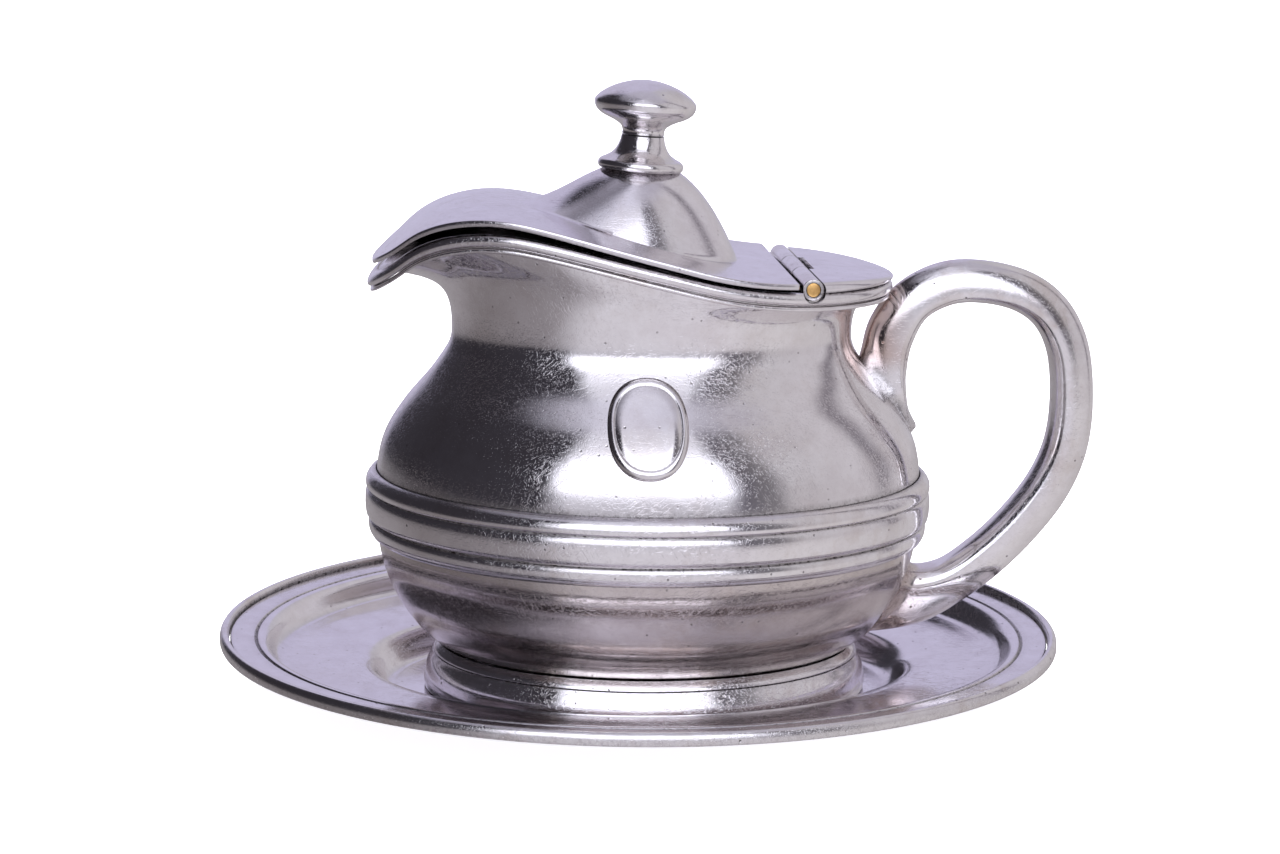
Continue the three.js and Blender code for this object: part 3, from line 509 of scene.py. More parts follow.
def hoop(node, section):
    """A hoop round the boat, from (half length, height, darkening for tarnish and painted shade) rows
    of its section.
    """
    rings = [oval(BOAT_X, a, a - NARROWING, z) for a, z, _ in section]
    verts, faces = rings_to_mesh(rings, True)
    tarnish_and_shade = tarnish_and_shade_of(rings, last_of(section))
    add_mesh(node + "_fine", verts, faces, "boat", m_belt, [node], 32, tarnish_and_shade)


hoop(
    "foot_ring",
    [
        (44.7, 1.0, 0.9), (45.0, 1.3, 0.5), (45.15, 2.2, 0.1), (45.1, 3.4, 0), (44.9, 4.6, 0),
        (44.5, 6.0, 0), (43.9, 7.3, 0), (43.45, 8.15, 0.1), (43.35, 8.45, 0.2), (43.2, 8.5, 0.5),
        (41.6, 8.45, 1), (42.6, 5.0, 1), (43.1, 1.0, 1),
    ],
)
hoop(
    "foot_neck",
    [
        (41.7, 8.62, 1), (43.1, 8.62, 0.4), (43.28, 8.72, 0.1), (43.2, 9.05, 0), (42.9, 9.45, 0),
        (42.5, 9.85, 0), (42.15, 10.15, 0.1), (41.95, 10.38, 0.4), (41.75, 10.38, 0.8),
    ],
)

BOWL_FLOOR = 8.0
heights = np.concatenate([np.linspace(BOWL_FLOOR, 12, 8), np.linspace(12.6, 39.9, 34)])
outer = [bowl_ring(0, z) for z in heights]
# Darker low on the bowl, where it goes into the foot ring: painted shade, with tarnish.
lower_tarnish_and_shade = [min(1.0, max(0.0, (11.0 - z) / 0.8)) * 0.7 for z in heights]
inner = [bowl_ring(-WALL, z + WALL * (1 - i / (len(heights) - 1))) for i, z in enumerate(heights)]
rings = outer + inner[::-1]
verts, faces = rings_to_mesh(rings, tips=((BOAT_X, 0, BOWL_FLOOR), (BOAT_X, 0, BOWL_FLOOR + WALL)))
tarnish_and_shade = np.concatenate([tarnish_and_shade_of(outer, lower_tarnish_and_shade), tarnish_and_shade_of(inner, [0.15] * len(inner)), [0.5, 0.15]])
add_mesh("bowl_lower_fine", verts, faces, "boat", m_bowl_shaded, ["bowl_lower"], 40, tarnish_and_shade)

hoop(
    "belt_moulding",
    [
        # lower bead
        (54.9, 33.1, 1), (55.15, 33.2, 0.6), (55.5, 33.5, 0.1), (55.85, 34.1, 0), (56.05, 34.8, 0),
        (56.1, 35.5, 0), (56.0, 36.15, 0), (55.85, 36.55, 0.3), (55.55, 36.8, 1),
        # band
        (55.6, 37.0, 1), (56.1, 37.15, 0.3), (56.5, 37.6, 0), (56.66, 38.5, 0), (56.72, 39.8, 0),
        (56.68, 41.2, 0), (56.55, 42.1, 0), (56.3, 42.6, 0.1), (56.0, 42.85, 0.8),
        # upper bead
        (55.95, 43.0, 1), (56.35, 43.12, 0.2), (56.55, 43.4, 0), (56.6, 43.9, 0), (56.5, 44.6, 0),
        (56.2, 45.2, 0), (55.8, 45.7, 0), (55.35, 46.05, 0.05), (54.95, 46.25, 0.3),
        (54.65, 46.38, 0.8), (54.58, 46.38, 1), (54.9, 40.0, 1),
    ],
)

# ---------------------------------------------------------------- mouth and rim

rim_top = spline(
    [
        (BOAT_X - MOUTH_SPOUT, 84.8), (-50.0, 88.7), (-44.5, 93.0), (-38.0, 95.5), (-30.0, 96.3),
        (-20.0, 95.0), (0.0, 90.4), (12.0, 87.7), (22.0, 86.3), (32.0, 85.7),
        (BOAT_X + MOUTH_HEEL, 85.5),
    ]
)
lid_rise = spline([(BOAT_X - MOUTH_SPOUT, 1.5), (-30.0, 2.3), (12.0, 1.75), (LID_REAR, 1.9)])


def lid_top(x):
    return rim_top(x) + lid_rise(x)


def mouth(t, offset):
    """The mouth outline, moved out by an offset, at an array of angles."""
    power = 2 / 2.2
    c, s = np.cos(t), np.sin(t)
    length = np.where(c < 0, MOUTH_SPOUT, MOUTH_HEEL) + offset
    x = BOAT_X + length * np.sign(c) * np.abs(c) ** power
    y = (MOUTH_B + offset) * np.sign(s) * np.abs(s) ** power
    return x, y


def rim_ring(offset, drop, n=320):
    x, y = mouth(angles(n), offset)
    return np.column_stack([x, y, rim_top(x) - drop])


def cut_by(obj, tool):
    """Takes a tool's volume out of a piece, and the tool out of the scene."""
    mod = obj.modifiers.new("cut", "BOOLEAN")
    mod.operation = "DIFFERENCE"
    mod.object = tool
    mod.solver = "EXACT"
    bpy.context.view_layer.update()
    deps = bpy.context.evaluated_depsgraph_get()
    result = bpy.data.meshes.new_from_object(obj.evaluated_get(deps))
    obj.modifiers.clear()
    obj.data = result
    bpy.data.objects.remove(tool)


def cut_by_barrel(obj, gap):
    """Cuts a piece clear of the hinge barrel."""
    bpy.ops.mesh.primitive_cylinder_add(
        vertices=48,
        radius=(BARREL_R + gap) * MM,
        depth=0.07,
        location=(HINGE_X * MM, 0, HINGE_Z * MM),
        rotation=(math.pi / 2, 0, 0),
    )
    cut_by(obj, bpy.context.active_object)


def cut_by_box(obj, low, high):
    """Takes a box, given by its corners in millimetres, out of a piece."""
    low, high = np.array(low) * MM, np.array(high) * MM
    bpy.ops.mesh.primitive_cube_add(size=1, location=(low + high) / 2)
    tool = bpy.context.active_object
    tool.scale = high - low
    cut_by(obj, tool)


RIM_CUT_GAP = 0.25


def wire(node, section):
    """A wire along the mouth, from (offset, drop, darkening for tarnish and painted shade) rows of its
    section.
    """
    rings = [rim_ring(offset, drop) for offset, drop, _ in section]
    verts, faces = rings_to_mesh(rings, True)
    tarnish_and_shade = tarnish_and_shade_of(rings, last_of(section))
    piece = add_mesh(node + "_fine", verts, faces, "boat", m_belt, [node], 50, tarnish_and_shade)
    cut_by_barrel(piece, RIM_CUT_GAP)


WIRE_R = 1.2
half_round = [(o, d, 0) for o, d in arc(-WIRE_R, WIRE_R, WIRE_R, WIRE_R, 80, -100, 16)]
half_round[0] = (*half_round[0][:2], 0.8)
wire("rim_moulding", [(-2.0, 2.4, 1), *half_round, (-2.0, 0.15, 0.6)])
bead = [(o, d, 0) for o, d in arc(-1.0, 3.05, 0.45, 0.45, 90, -90, 8)]
wire("rim_bead", [(-2.0, 3.4, 1), *bead, (-2.0, 2.65, 1)])


def throat_ring(s, offset, n=256):
    """A surface ring between neck and mouth: s runs from 0 at the neck to 1 at the rim."""
    t = angles(n)
    c = np.cos(t)
    neck = NECK_A + offset
    start = np.column_stack([BOAT_X + neck * c, (neck - NARROWING) * np.sin(t), np.full(n, NECK_Z)])
    x, y = mouth(t, offset - 2.2)
    end = np.column_stack([x, y, rim_top(x) - 0.3])
    rise = (end - start)[:, 2]
    spout = np.maximum(0, -c) ** 3
    heel = np.maximum(0, c) ** 3
    out = (end - start) * np.array([1, 1, 0])
    up = np.array([0, 0, 1.0])
    lift = start + np.outer(rise * (0.55 + 0.25 * np.maximum(spout, heel)), up)
    lead = 0.35 + 0.45 * spout
    fall = 0.45 - 0.33 * spout
    arrive = end - out * lead[:, None] - np.outer(rise * fall, up)
    return (1 - s) ** 3 * start + 3 * (1 - s) ** 2 * s * lift + 3 * (1 - s) * s**2 * arrive + s**3 * end


wall_heights = np.concatenate([np.linspace(40.1, 50, 14), np.linspace(50.6, 73.8, 34)])
shares = np.linspace(0, 1, 26)


def upper_face(offset):
    """The upper half's wall, moved out by an offset, from the belt to the rim."""
    wall = [bowl_ring(offset, z) for z in wall_heights]
    return wall + [throat_ring(s, offset) for s in shares]


outer = upper_face(0)
inner = upper_face(-WALL)
rings = outer + inner[::-1]
verts, faces = rings_to_mesh(rings, True)
# Darker just above the belt moulding and towards the rim: painted shade beside the mouldings, with
# tarnish.
near_belt = [min(1.0, max(0.0, (47.3 - z) / 0.8)) * 0.8 for z in wall_heights]
near_rim = [min(1.0, max(0.0, (s - 0.86) / 0.08)) * 0.5 for s in shares]
tarnish_and_shade = np.concatenate([tarnish_and_shade_of(outer, near_belt + near_rim), tarnish_and_shade_of(inner, [0.12] * len(inner))])
body = add_mesh("body_upper_fine", verts, faces, "boat", m_body, ["body_upper"], 40, tarnish_and_shade)
cut_by_barrel(body, RIM_CUT_GAP)

# ---------------------------------------------------------------- heel plate and hinge


def heel_layer(offset, z, fall, n=200):
    """One level of the D-shaped plate: the heel's arc, closed straight across over the hinge."""
    t = np.linspace(-math.pi, math.pi, 4001)
    x, y = mouth(t, offset)
    limit = t[x > HINGE_X].max()
    x, y = mouth(np.linspace(-limit, limit, n), offset)
    straight = 40
    line = np.linspace(y[-1], y[0], straight + 2)[1:-1]
    x = np.append(x, np.full(straight, x[0]))
    y = np.append(y, line)
    back = np.maximum(0, x - HINGE_X) / (MOUTH_HEEL - HINGE_X)
    return np.column_stack([x, y, z - fall * back**2])


heel_top = HINGE_Z + BARREL_R - 0.4
under = float(rim_top(BOAT_X + MOUTH_HEEL)) + 0.2
# The plate's section from below its edge to its top: offset, height, fall at the back, darkening for
# tarnish and painted shade.
layers = [
    (-1.2, under, 0, 1),
    (-0.5, under + 0.02, 0, 0.8),
    (-0.15, under + 0.25, 0, 0.3),
    (0, under + 0.6, 0.1, 0),
    (-0.02, under + 1.0, 0.3, 0),
    (-0.2, heel_top - 0.7, 0.7, 0),
    (-0.55, heel_top - 0.35, 0.9, 0),
    (-1.1, heel_top - 0.1, 1.05, 0),
    (-1.8, heel_top, 1.1, 0),
    (-4, heel_top + 0.02, 1.0, 0),
    (-8, heel_top, 0.8, 0),
]
rings = [heel_layer(o, z, f) for o, z, f, _ in layers]
verts, faces = rings_to_mesh(rings, tips=((HINGE_X + 6, 0, under), (HINGE_X + 6, 0, heel_top)))
tarnish_and_shade = np.concatenate([tarnish_and_shade_of(rings, last_of(layers)), [1, 0]])
heel = add_mesh("heel_plate_fine", verts, faces, "boat", m_lid, ["heel_plate"], 40, tarnish_and_shade)
slot_front = HINGE_X + BARREL_R + 0.5
cut_by_box(heel, (HINGE_X - 5, -FIXED_TUBE_FROM, 80), (slot_front, FIXED_TUBE_FROM, 95))
cut_by_barrel(heel, 0.15)


def tube(name, y0, y1, body, node, material, r_out=BARREL_R, r_in=PIN_R + PIN_CLEARANCE):
    """A hinge tube along Y with softened ends, or a solid pin where it has no inner radius."""
    n = 64
    t = angles(n)

    def ring(r, y):
        return np.column_stack([HINGE_X + r * np.cos(t), np.full(n, y), HINGE_Z + r * np.sin(t)])

    e = 0.14  # softened edge
    if r_in:
        rings = [ring(r_in, y0), ring(r_out - e, y0)]
        rings += [ring(r_out - 0.04, y0 + 0.05), ring(r_out, y0 + e)]
        rings += [ring(r_out, y) for y in np.linspace(y0 + 0.6, y1 - 0.6, 12)]
        rings += [ring(r_out, y1 - e), ring(r_out - 0.04, y1 - 0.05)]
        rings += [ring(r_out - e, y1), ring(r_in, y1)]
        verts, faces = rings_to_mesh(rings[::-1], True)
        # Darker at the tube ends: painted shade in the joints between the tubes, with tarnish.
        values = [0.9, 0.5, 0.2, 0.05] + [0] * 12 + [0.05, 0.2, 0.5, 0.9]
        tarnish_and_shade = tarnish_and_shade_of(rings, values)
    else:
        rings = [ring(r_out - 0.25, y0), ring(r_out - 0.05, y0 + 0.08), ring(r_out, y0 + 0.3)]
        rings += [ring(r_out, y1 - 0.3), ring(r_out - 0.05, y1 - 0.08), ring(r_out - 0.25, y1)]
        verts, faces = rings_to_mesh(
            rings[::-1], tips=((HINGE_X, y1 + 0.05, HINGE_Z), (HINGE_X, y0 - 0.05, HINGE_Z))
        )
        tarnish_and_shade = None
    return add_mesh(name, verts, faces, body, material, [node], 50, tarnish_and_shade)


tube("hinge_tube_near", -HINGE_HALF, -FIXED_TUBE_FROM, "boat", "hinge_knuckle_near", m_belt)
tube("hinge_tube_far", FIXED_TUBE_FROM, HINGE_HALF, "boat", "hinge_knuckle_far", m_belt)
pin_half = HINGE_HALF + 0.05
tube("hinge_pin_fine", -pin_half, pin_half, "boat", "hinge_pin", m_brass, PIN_R, 0)

# ---------------------------------------------------------------- lid


CROWN_X, CROWN_RISE = -30, 1.5


def plate_height(x, y):
    """The lid plate's top: the rim's line, arched across more and more towards the spout."""
    across = np.minimum(1, np.abs(y) / MOUTH_B)
    s = np.clip((LID_REAR - x) / (LID_REAR - CROWN_X), 0, 1)
    return lid_top(x) + CROWN_RISE * s * s * (3 - 2 * s) * (1 - across**2)


def dome_foot(t):
    """The line where the dome meets the plate, drawn out towards the spout."""
    spread = DOME_RUNOUT * np.maximum(0, -np.cos(t)) ** 2
    return DOME_X + (DOME_A + spread) * np.cos(t), DOME_B * np.sin(t)


def dome_ring(t, s):
    """A ring of the dome at a share of the way out: round, with a soft run-out to the spout."""
    fx, fy = dome_foot(t)
    low = plate_height(fx, fy)
    runout = np.maximum(0, -np.cos(t)) ** 2
    sharp = s**2.4
    soft = (1 - math.cos(math.pi * s**1.1)) / 2
    profile = sharp + (soft - sharp) * runout
    z = DOME_TOP + (low - DOME_TOP) * profile
    return np.column_stack([DOME_X + (fx - DOME_X) * s, fy * s, z])


N_LID = 320
t_lid = angles(N_LID)
tip_share = np.maximum(0, -np.cos(t_lid)) ** 8
ox, oy = mouth(t_lid, LID_OVERHANG - (LID_OVERHANG + LID_TIP_INSET) * tip_share)
ox = np.minimum(ox, LID_REAR)


def lid_face(lift, edge=0.0):
    """The lid's surface, lifted, with its outermost ring drawn in by an edge width."""
    rings = [dome_ring(t_lid, s) for s in np.linspace(0.04, 1, 40)]
    fx, fy = dome_foot(t_lid)
    for s in np.linspace(0, 1, 30)[1:]:
        x = fx + (ox - fx) * s
        y = fy + (oy - fy) * s
        rings.append(np.column_stack([x, y, plate_height(x, y)]))
    rings = [r + np.array([0, 0, lift]) for r in rings]
    if edge:
        last = rings[-1].copy()
        centre = np.array([DOME_X, 0])
        d = last[:, :2] - centre
        d /= np.linalg.norm(d, axis=1)[:, None]
        rings[-1][:, :2] -= d * edge
    return rings


top = lid_face(0, 0.12)
under_rings = lid_face(-LID_THICK, 0.12)
edge_rings = [lid_face(lift)[-1] for lift in (-0.14, -0.55, -0.96)]
rings = under_rings + edge_rings[::-1] + top[::-1]
verts, faces = rings_to_mesh(rings, tips=((DOME_X, 0, DOME_TOP - LID_THICK), (DOME_X, 0, DOME_TOP)))
# The lid's underside and lower edge are darkened as painted shade.
values = [0.25] * len(under_rings) + [0.3, 0.1, 0.0] + [0] * len(top)
tarnish_and_shade = np.concatenate([tarnish_and_shade_of(rings, values), [0.25, 0]])
add_mesh("lid_plate_fine", verts, faces, "lid", m_lid, ["lid_plate"], 60, tarnish_and_shade)

tube("lid_tube", -LID_TUBE_HALF, LID_TUBE_HALF, "lid", "lid_knuckle", m_belt)

# ---------------------------------------------------------------- knob


def turned(node, profile, closed=False):
    """A solid turned about the knob's leaning axis, from (radius, height, darkening for tarnish and
    painted shade) rows.
    """
    n = 128
    t = angles(n)
    ca, sa = math.cos(LEAN), math.sin(LEAN)
    rings = []
    for r, h, _ in profile:
        x, y, z = r * np.cos(t), r * np.sin(t), np.full(n, float(h))
        rings.append(np.column_stack([KNOB_X + x * ca + z * sa, y, SEAT_Z - x * sa + z * ca]))
    if closed:
        verts, faces = rings_to_mesh(rings, True)
        tarnish_and_shade = tarnish_and_shade_of(rings, last_of(profile))
    else:
        low, high = profile[0][1], profile[-1][1]
        tips = [(KNOB_X + h * sa, 0, SEAT_Z + h * ca) for h in (low, high)]
        verts, faces = rings_to_mesh(rings, tips=tips)
        tarnish_and_shade = np.concatenate([tarnish_and_shade_of(rings, last_of(profile)), [0, 0]])
    return add_mesh(node + "_fine", verts, faces, "lid", m_knob, [node], 40, tarnish_and_shade)


base = path(
    [
        (8.3, -0.3), (8.38, 0.3), (8.1, 0.95), (7.0, 1.55), (5.8, 2.3), (4.95, 3.4), (4.38, 4.8),
        (4.2, 5.85),
    ],
    5,
)
profile = [(1.65, -0.6, 0.5), (8.1, -0.6, 0.5)]
profile += [(r, h, 0.2 if h < -0.1 else 0.0) for r, h in base]
profile += [(4.05, 5.9, 0.6), (1.65, 5.9, 1)]
turned("finial_base", profile, closed=True)

button = path(
    [
        (4.15, 6.12), (4.1, 6.7), (4.4, 7.5), (5.2, 8.15), (6.6, 8.85), (7.9, 9.4), (9.0, 10.1),
        (9.65, 10.9), (9.88, 11.7), (9.85, 12.4), (9.2, 13.25), (8.2, 14.05), (6.6, 15.0),
        (4.6, 15.8), (2.4, 16.35), (0.7, 16.55),
    ],
    6,
)
profile = [(1.5, -6.4, 0), (1.5, 6.1, 1), (4.05, 6.1, 0.6)]
profile += [(r, h, 0.35 if h < 6.4 else 0) for r, h in button]
turned("finial_knob", profile)

# ---------------------------------------------------------------- handle

HANDLE_HALF_WIDTH = 4.6
HANDLE_EDGE_BACK = 0.42  # how far the sharp edge lies behind the middle, over the half thickness

# Middle line from the tail on the shoulder, over the top, down to the root: x, z and thickness.
handle_line = [
    (52.6, 54.2, 1.2), (50.9, 59.5, 3.6), (48.4, 66.0, 7.8), (48.4, 73.2, 9.8), (52.4, 80.2, 9.1),
    (59.2, 84.0, 8.9), (66.6, 84.5, 8.6), (75.2, 82.5, 8.4), (80.9, 78.5, 8.3), (84.7, 72.0, 8.4),
    (86.45, 61.5, 8.6), (85.85, 51.0, 8.95), (82.7, 42.6, 9.2), (77.0, 34.5, 9.3), (70.1, 27.4, 9.5),
    (63.2, 22.3, 10.0), (56.3, 19.6, 12.6), (49.0, 18.8, 14.0), (42.0, 19.0, 15.0),
]
line = path(handle_line, 10)
tangent = np.gradient(line[:, :2], axis=0)
tangent /= np.linalg.norm(tangent, axis=1)[:, None]
outward = np.column_stack([-tangent[:, 1], tangent[:, 0]])


def handle_section(n=64):
    """(depth share, width share): outer half round, crisp edge, shallow convex inner face."""
    pts = []
    for a in np.linspace(0, math.pi, n // 2, endpoint=False):
        pts.append((math.sin(a), -math.cos(a)))
    for a in np.linspace(0, math.pi, n // 2, endpoint=False):
        pts.append((-math.sin(a), math.cos(a)))
    return pts


section = handle_section()
rings = []
for p, o in zip(line, outward):
    h = p[2] / 2
    w = HANDLE_HALF_WIDTH * min(1.0, 0.35 + h / 4.4)
    edge = -h * HANDLE_EDGE_BACK
    ring = []
    for d, s in section:
        depth = edge + (h - edge) * d if d > 0 else edge + (h + edge) * d
        ring.append((p[0] + o[0] * depth, w * s, p[1] + o[1] * depth))
    rings.append(np.array(ring))


def boat_distance(p):
    """Rough distance of points from the boat's wall near its heel, in millimetres."""
    a = bowl_a(np.clip(p[:, 2], 8, NECK_Z))
    return (np.sqrt(((p[:, 0] - BOAT_X) / a) ** 2 + (p[:, 1] / (a - NARROWING)) ** 2) - 1) * a


FLARE_REACH, FLARE_WIDTH = 3.2, 1.7  # the handle spreads where it meets the boat

for i, ring in enumerate(rings):
    out = ring - ring.mean(axis=0)
    out /= np.linalg.norm(out, axis=1)[:, None]
    flare = np.clip(1 - boat_distance(ring) / FLARE_REACH, 0, 1) ** 2 * FLARE_WIDTH
    rings[i] = ring + out * flare[:, None]
verts, faces = rings_to_mesh(rings, tips=(rings[0].mean(axis=0), rings[-1].mean(axis=0)))
points = np.array(verts)
# Darker where the handle comes close to the boat's wall: painted shade between the parts, with tarnish.
near = np.clip(1 - boat_distance(points) / 3.0, 0, 1)
handle = add_mesh("handle_fine", verts, faces, "boat", m_handle, ["handle"], 40, near * 0.55)
# Brown tarnish in the bend beside the boat, and less of it at the root.
warm = handle.data.attributes.new("warm", "FLOAT", "POINT")
high = np.clip((points[:, 2] - 66) / 4, 0, 1) * np.clip((53 - points[:, 0]) / 6, 0, 1)
low = np.clip((34 - points[:, 2]) / 6, 0, 1) * np.clip((60 - points[:, 0]) / 8, 0, 1) * 0.35
warm.data.foreach_set("value", np.maximum(high * 0.5, low))

# ---------------------------------------------------------------- plaque


def front_point(x, z, lift):
    """A point in front of the boat's near wall, lifted off it along its normal."""
    a = bowl_a(z)
    b = a - NARROWING
    y = -b * np.sqrt(1 - ((x - BOAT_X) / a) ** 2)
    slope = (bowl_a(z + 0.5) - bowl_a(z - 0.5)) * ((x - BOAT_X) ** 2 / a**3 + y**2 / b**3)
    normal = np.column_stack([(x - BOAT_X) / a**2, y / b**2, -slope])
    normal /= np.linalg.norm(normal, axis=1)[:, None]
    return np.column_stack([x, y, z]) + normal * lift


# Bevelled edge, sunken line and blank field: share of the outline, lift off the wall, darkening for
# tarnish and painted shade.
PLAQUE_BACK = 0.33
rows = [
    (0.99, PLAQUE_BACK, 0.9), (1.0, 0.5, 0.5), (0.99, 0.8, 0.1), (0.95, 1.12, 0), (0.91, 1.28, 0),
    (0.87, 1.33, 0), (0.84, 1.3, 0.1), (0.82, 1.2, 0.5), (0.80, 1.2, 0.4), (0.78, 1.27, 0),
    (0.6, 1.3, 0), (0.3, 1.32, 0), (0.05, 1.33, 0),
]
t = angles(96)
rings = []
for share, lift, _ in rows:
    x = PLAQUE_X + PLAQUE_W * share * np.sign(np.cos(t)) * np.abs(np.cos(t)) ** 0.9
    z = PLAQUE_Z + PLAQUE_H * share * np.sign(np.sin(t)) * np.abs(np.sin(t)) ** 0.9
    rings.append(front_point(x, z, lift))
back = rings[0].mean(axis=0)
shrunk = [back + (rings[0] - back) * k for k in (0.03, 0.35, 0.7)]
inner = [front_point(ring[:, 0], ring[:, 2], PLAQUE_BACK) for ring in shrunk]
rings = inner + rings
verts, faces = rings_to_mesh(rings, tips=(inner[0].mean(axis=0), rings[-1].mean(axis=0)))
# The plaque's back and edge against the wall are darkened as painted shade.
tarnish_and_shade = np.concatenate([tarnish_and_shade_of(rings, [0.9, 0.9, 0.9] + last_of(rows)), [0.9, 0]])
add_mesh("plaque_fine", verts, faces, "boat", m_knob, ["plaque"], 40, tarnish_and_shade)

# ---------------------------------------------------------------- the rest of the CAD nodes

for node, material in (("finial_washer", m_steel), ("finial_nut", m_brass)):
    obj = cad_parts[node]
    obj.data.materials.clear()
    obj.data.materials.append(material)

# ---------------------------------------------------------------- studio


def stage_floor():
    """A pale floor that sweeps up behind the object."""
    half_width, bend_from, bend, top = 3.0, 1.2, 0.8, 3.0
    rows = [(-half_width, 0.0)] + [(y, 0.0) for y in np.linspace(-2, bend_from, 9)]
    sweep = np.linspace(0, math.pi / 2, 16)[1:]
    rows += [(bend_from + bend * math.sin(a), bend - bend * math.cos(a)) for a in sweep]
    rows += [(bend_from + bend, top)]
    verts, faces = [], []
    for y, z in rows:
        verts += [(-half_width, y, z), (half_width, y, z)]
    for i in range(len(rows) - 1):
        faces.append((2 * i, 2 * i + 1, 2 * i + 3, 2 * i + 2))
    mesh = bpy.data.meshes.new("floor")
    mesh.from_pydata(verts, [], faces)
    mesh.shade_smooth()
    obj = bpy.data.objects.new("floor", mesh)
    bpy.context.collection.objects.link(obj)
    g = Nodes("floor_paper")
    tone = g.mix(g.noise(3, 2.0), (0.92, 0.92, 0.93, 1), (0.90, 0.90, 0.91, 1))
    shader = g.node(
        "ShaderNodeBsdfPrincipled",
        {
            "Base Color": tone,
            "Roughness": 0.9,
            "Emission Color": (0.9, 0.9, 0.93, 1),
            "Emission Strength": 0.8,
        },
    )
    g.tree.links.new(shader.outputs[0], g.out.inputs["Surface"])
    obj.data.materials.append(g.material)
    obj.visible_glossy = False


stage_floor()


def area(name, place, target, size, power, color=(1, 1, 1)):
    light = bpy.data.lights.new(name, "AREA")
    light.shape = "RECTANGLE"
    light.size, light.size_y = size
    light.energy = power
    light.color = color
    obj = bpy.data.objects.new(name, light)
    obj.location = place
    direction = Vector(target) - Vector(place)
    obj.rotation_euler = direction.to_track_quat("-Z", "Y").to_euler()
    bpy.context.collection.objects.link(obj)
    return obj


overhead = area("overhead", (0.0, 0.0, 1.6), (0, 0, 0), (2.4, 2.4), 60, (1.0, 0.99, 1.0))
overhead.visible_glossy = False


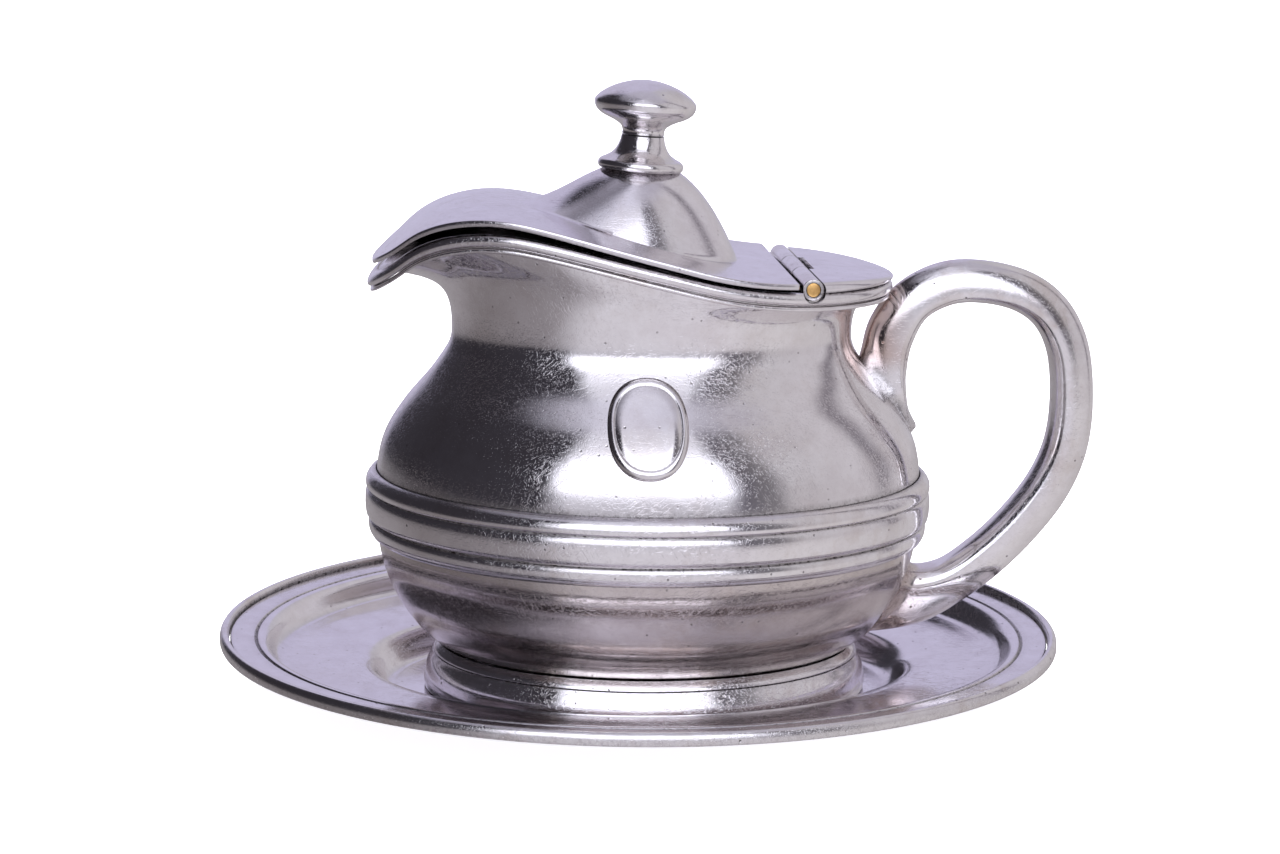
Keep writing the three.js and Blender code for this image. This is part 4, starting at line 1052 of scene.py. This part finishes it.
def studio_world():
    """The room as the metal sees it: a bright window in front, lavender paper behind, a dark left
    side, a grey right side and a lavender ceiling.

    A stop of a colour by azimuth is a share of the turn: 0.25 left, 0.5 front, 0.75 right."""
    world = bpy.data.worlds.new("studio")
    bpy.context.scene.world = world
    world.use_nodes = True
    tree = world.node_tree
    tree.nodes.clear()

    def node(kind, inputs=None, **props):
        n = tree.nodes.new(kind)
        for key, value in props.items():
            setattr(n, key, value)
        for key, value in (inputs or {}).items():
            if hasattr(value, "is_linked"):
                tree.links.new(value, n.inputs[key])
            else:
                n.inputs[key].default_value = value
        return n

    def calc(op, a, b=0.0):
        return node("ShaderNodeMath", {0: a, 1: b}, operation=op).outputs[0]

    def ramp(value, stops, interpolation="EASE"):
        n = node("ShaderNodeValToRGB", {0: value})
        n.color_ramp.interpolation = interpolation
        els = n.color_ramp.elements
        while len(els) > 1:
            els.remove(els[-1])
        els[0].position, els[0].color = stops[0][0], (*stops[0][1], 1)
        for place, color in stops[1:]:
            els.new(place).color = (*color, 1)
        return n.outputs[0]

    def mix(factor, a, b):
        n = node("ShaderNodeMix", data_type="RGBA")
        for k, value in ((0, factor), (6, a), (7, b)):
            if hasattr(value, "is_linked"):
                tree.links.new(value, n.inputs[k])
            else:
                n.inputs[k].default_value = value
        return n.outputs[2]

    coord = node("ShaderNodeTexCoord").outputs["Generated"]
    sep = node("ShaderNodeSeparateXYZ", {0: coord})
    x, y, z = sep.outputs
    azimuth = calc("ADD", calc("DIVIDE", calc("ARCTAN2", x, calc("MULTIPLY", y, -1.0)), TAU), 0.5)
    elevation = calc("ADD", calc("DIVIDE", calc("ARCSINE", z), math.pi), 0.5)

    dark = (0.042, 0.039, 0.049)
    darker = (0.032, 0.029, 0.036)
    grey = (0.62, 0.59, 0.63)
    paper = (0.58, 0.55, 0.72)

    def upper(window, beside):
        """The room above the table, by azimuth, for one brightness of the window."""
        return ramp(
            azimuth,
            [
                (0.00, paper), (0.055, paper), (0.10, dark), (0.22, darker), (0.40, dark),
                (0.43, window), (0.56, window), (0.585, (0.16, 0.15, 0.18)),
                (0.61, (0.20, 0.19, 0.21)), (0.64, beside), (0.74, grey),
                (0.77, (0.24, 0.22, 0.25)), (0.80, grey), (0.87, (0.60, 0.57, 0.60)),
                (0.93, (0.54, 0.52, 0.57)), (0.955, paper), (1.0, paper),
            ],
        )

    low_window = upper((0.62, 0.61, 0.68), (0.55, 0.52, 0.55))
    high_window = upper((2.3, 2.33, 2.6), (0.62, 0.60, 0.64))
    glow = ramp(
        elevation,
        [
            (0.50, (0, 0, 0)), (0.60, (0.75, 0.75, 0.75)), (0.70, (1, 1, 1)),
            (0.82, (0.15, 0.15, 0.15)),
        ],
    )
    sky = mix(glow, low_window, high_window)
    lower = ramp(
        azimuth,
        [
            (0.0, (0.38, 0.36, 0.38)), (0.12, (0.34, 0.32, 0.34)), (0.25, (0.22, 0.20, 0.21)),
            (0.38, (0.28, 0.26, 0.28)), (0.45, (0.72, 0.70, 0.76)), (0.56, (0.74, 0.71, 0.77)),
            (0.62, (0.70, 0.67, 0.70)), (0.8, (0.60, 0.57, 0.59)), (1.0, (0.38, 0.36, 0.38)),
        ],
    )
    ceiling = ramp(
        azimuth,
        [
            (0.0, (0.50, 0.48, 0.58)), (0.25, (0.24, 0.23, 0.28)), (0.46, (0.78, 0.77, 0.90)),
            (0.7, (0.50, 0.48, 0.56)), (1.0, (0.50, 0.48, 0.58)),
        ],
    )
    up_part = ramp(elevation, [(0.80, (0, 0, 0)), (0.88, (1, 1, 1))])
    low_part = ramp(elevation, [(0.42, (1, 1, 1)), (0.50, (0, 0, 0))])
    bottom = ramp(elevation, [(0.05, (1, 1, 1)), (0.20, (0, 0, 0))])
    color = mix(up_part, sky, ceiling)
    color = mix(low_part, color, lower)
    color = mix(bottom, color, (0.70, 0.68, 0.74, 1))
    background = node("ShaderNodeBackground", {0: color, 1: 1.0})
    out = node("ShaderNodeOutputWorld")
    tree.links.new(background.outputs[0], out.inputs[0])


studio_world()

# ---------------------------------------------------------------- camera

camera = bpy.data.cameras.new("camera")
camera.lens = 61.21
camera.sensor_width = 36.0
camera.clip_start = 0.01
camera.clip_end = 20.0
cam = bpy.data.objects.new("camera", camera)
bpy.context.collection.objects.link(cam)
back_v = Vector((-0.07763, -0.97192, 0.22215)).normalized()
right = Vector((0.99683, -0.07962, 0.0)).normalized()
up = back_v.cross(right).normalized()
roll = math.radians(1.196)
right_r = right * math.cos(roll) + up * math.sin(roll)
up_r = up * math.cos(roll) - right * math.sin(roll)
aim = Vector((-0.001043, 0, 0.054478))
distance = 0.43525
place = aim + back_v * distance
cam.matrix_world = Matrix(
    (
        (right_r.x, up_r.x, back_v.x, place.x),
        (right_r.y, up_r.y, back_v.y, place.y),
        (right_r.z, up_r.z, back_v.z, place.z),
        (0, 0, 0, 1),
    )
)
bpy.context.scene.camera = cam
bpy.context.scene.view_settings.view_transform = "Standard"
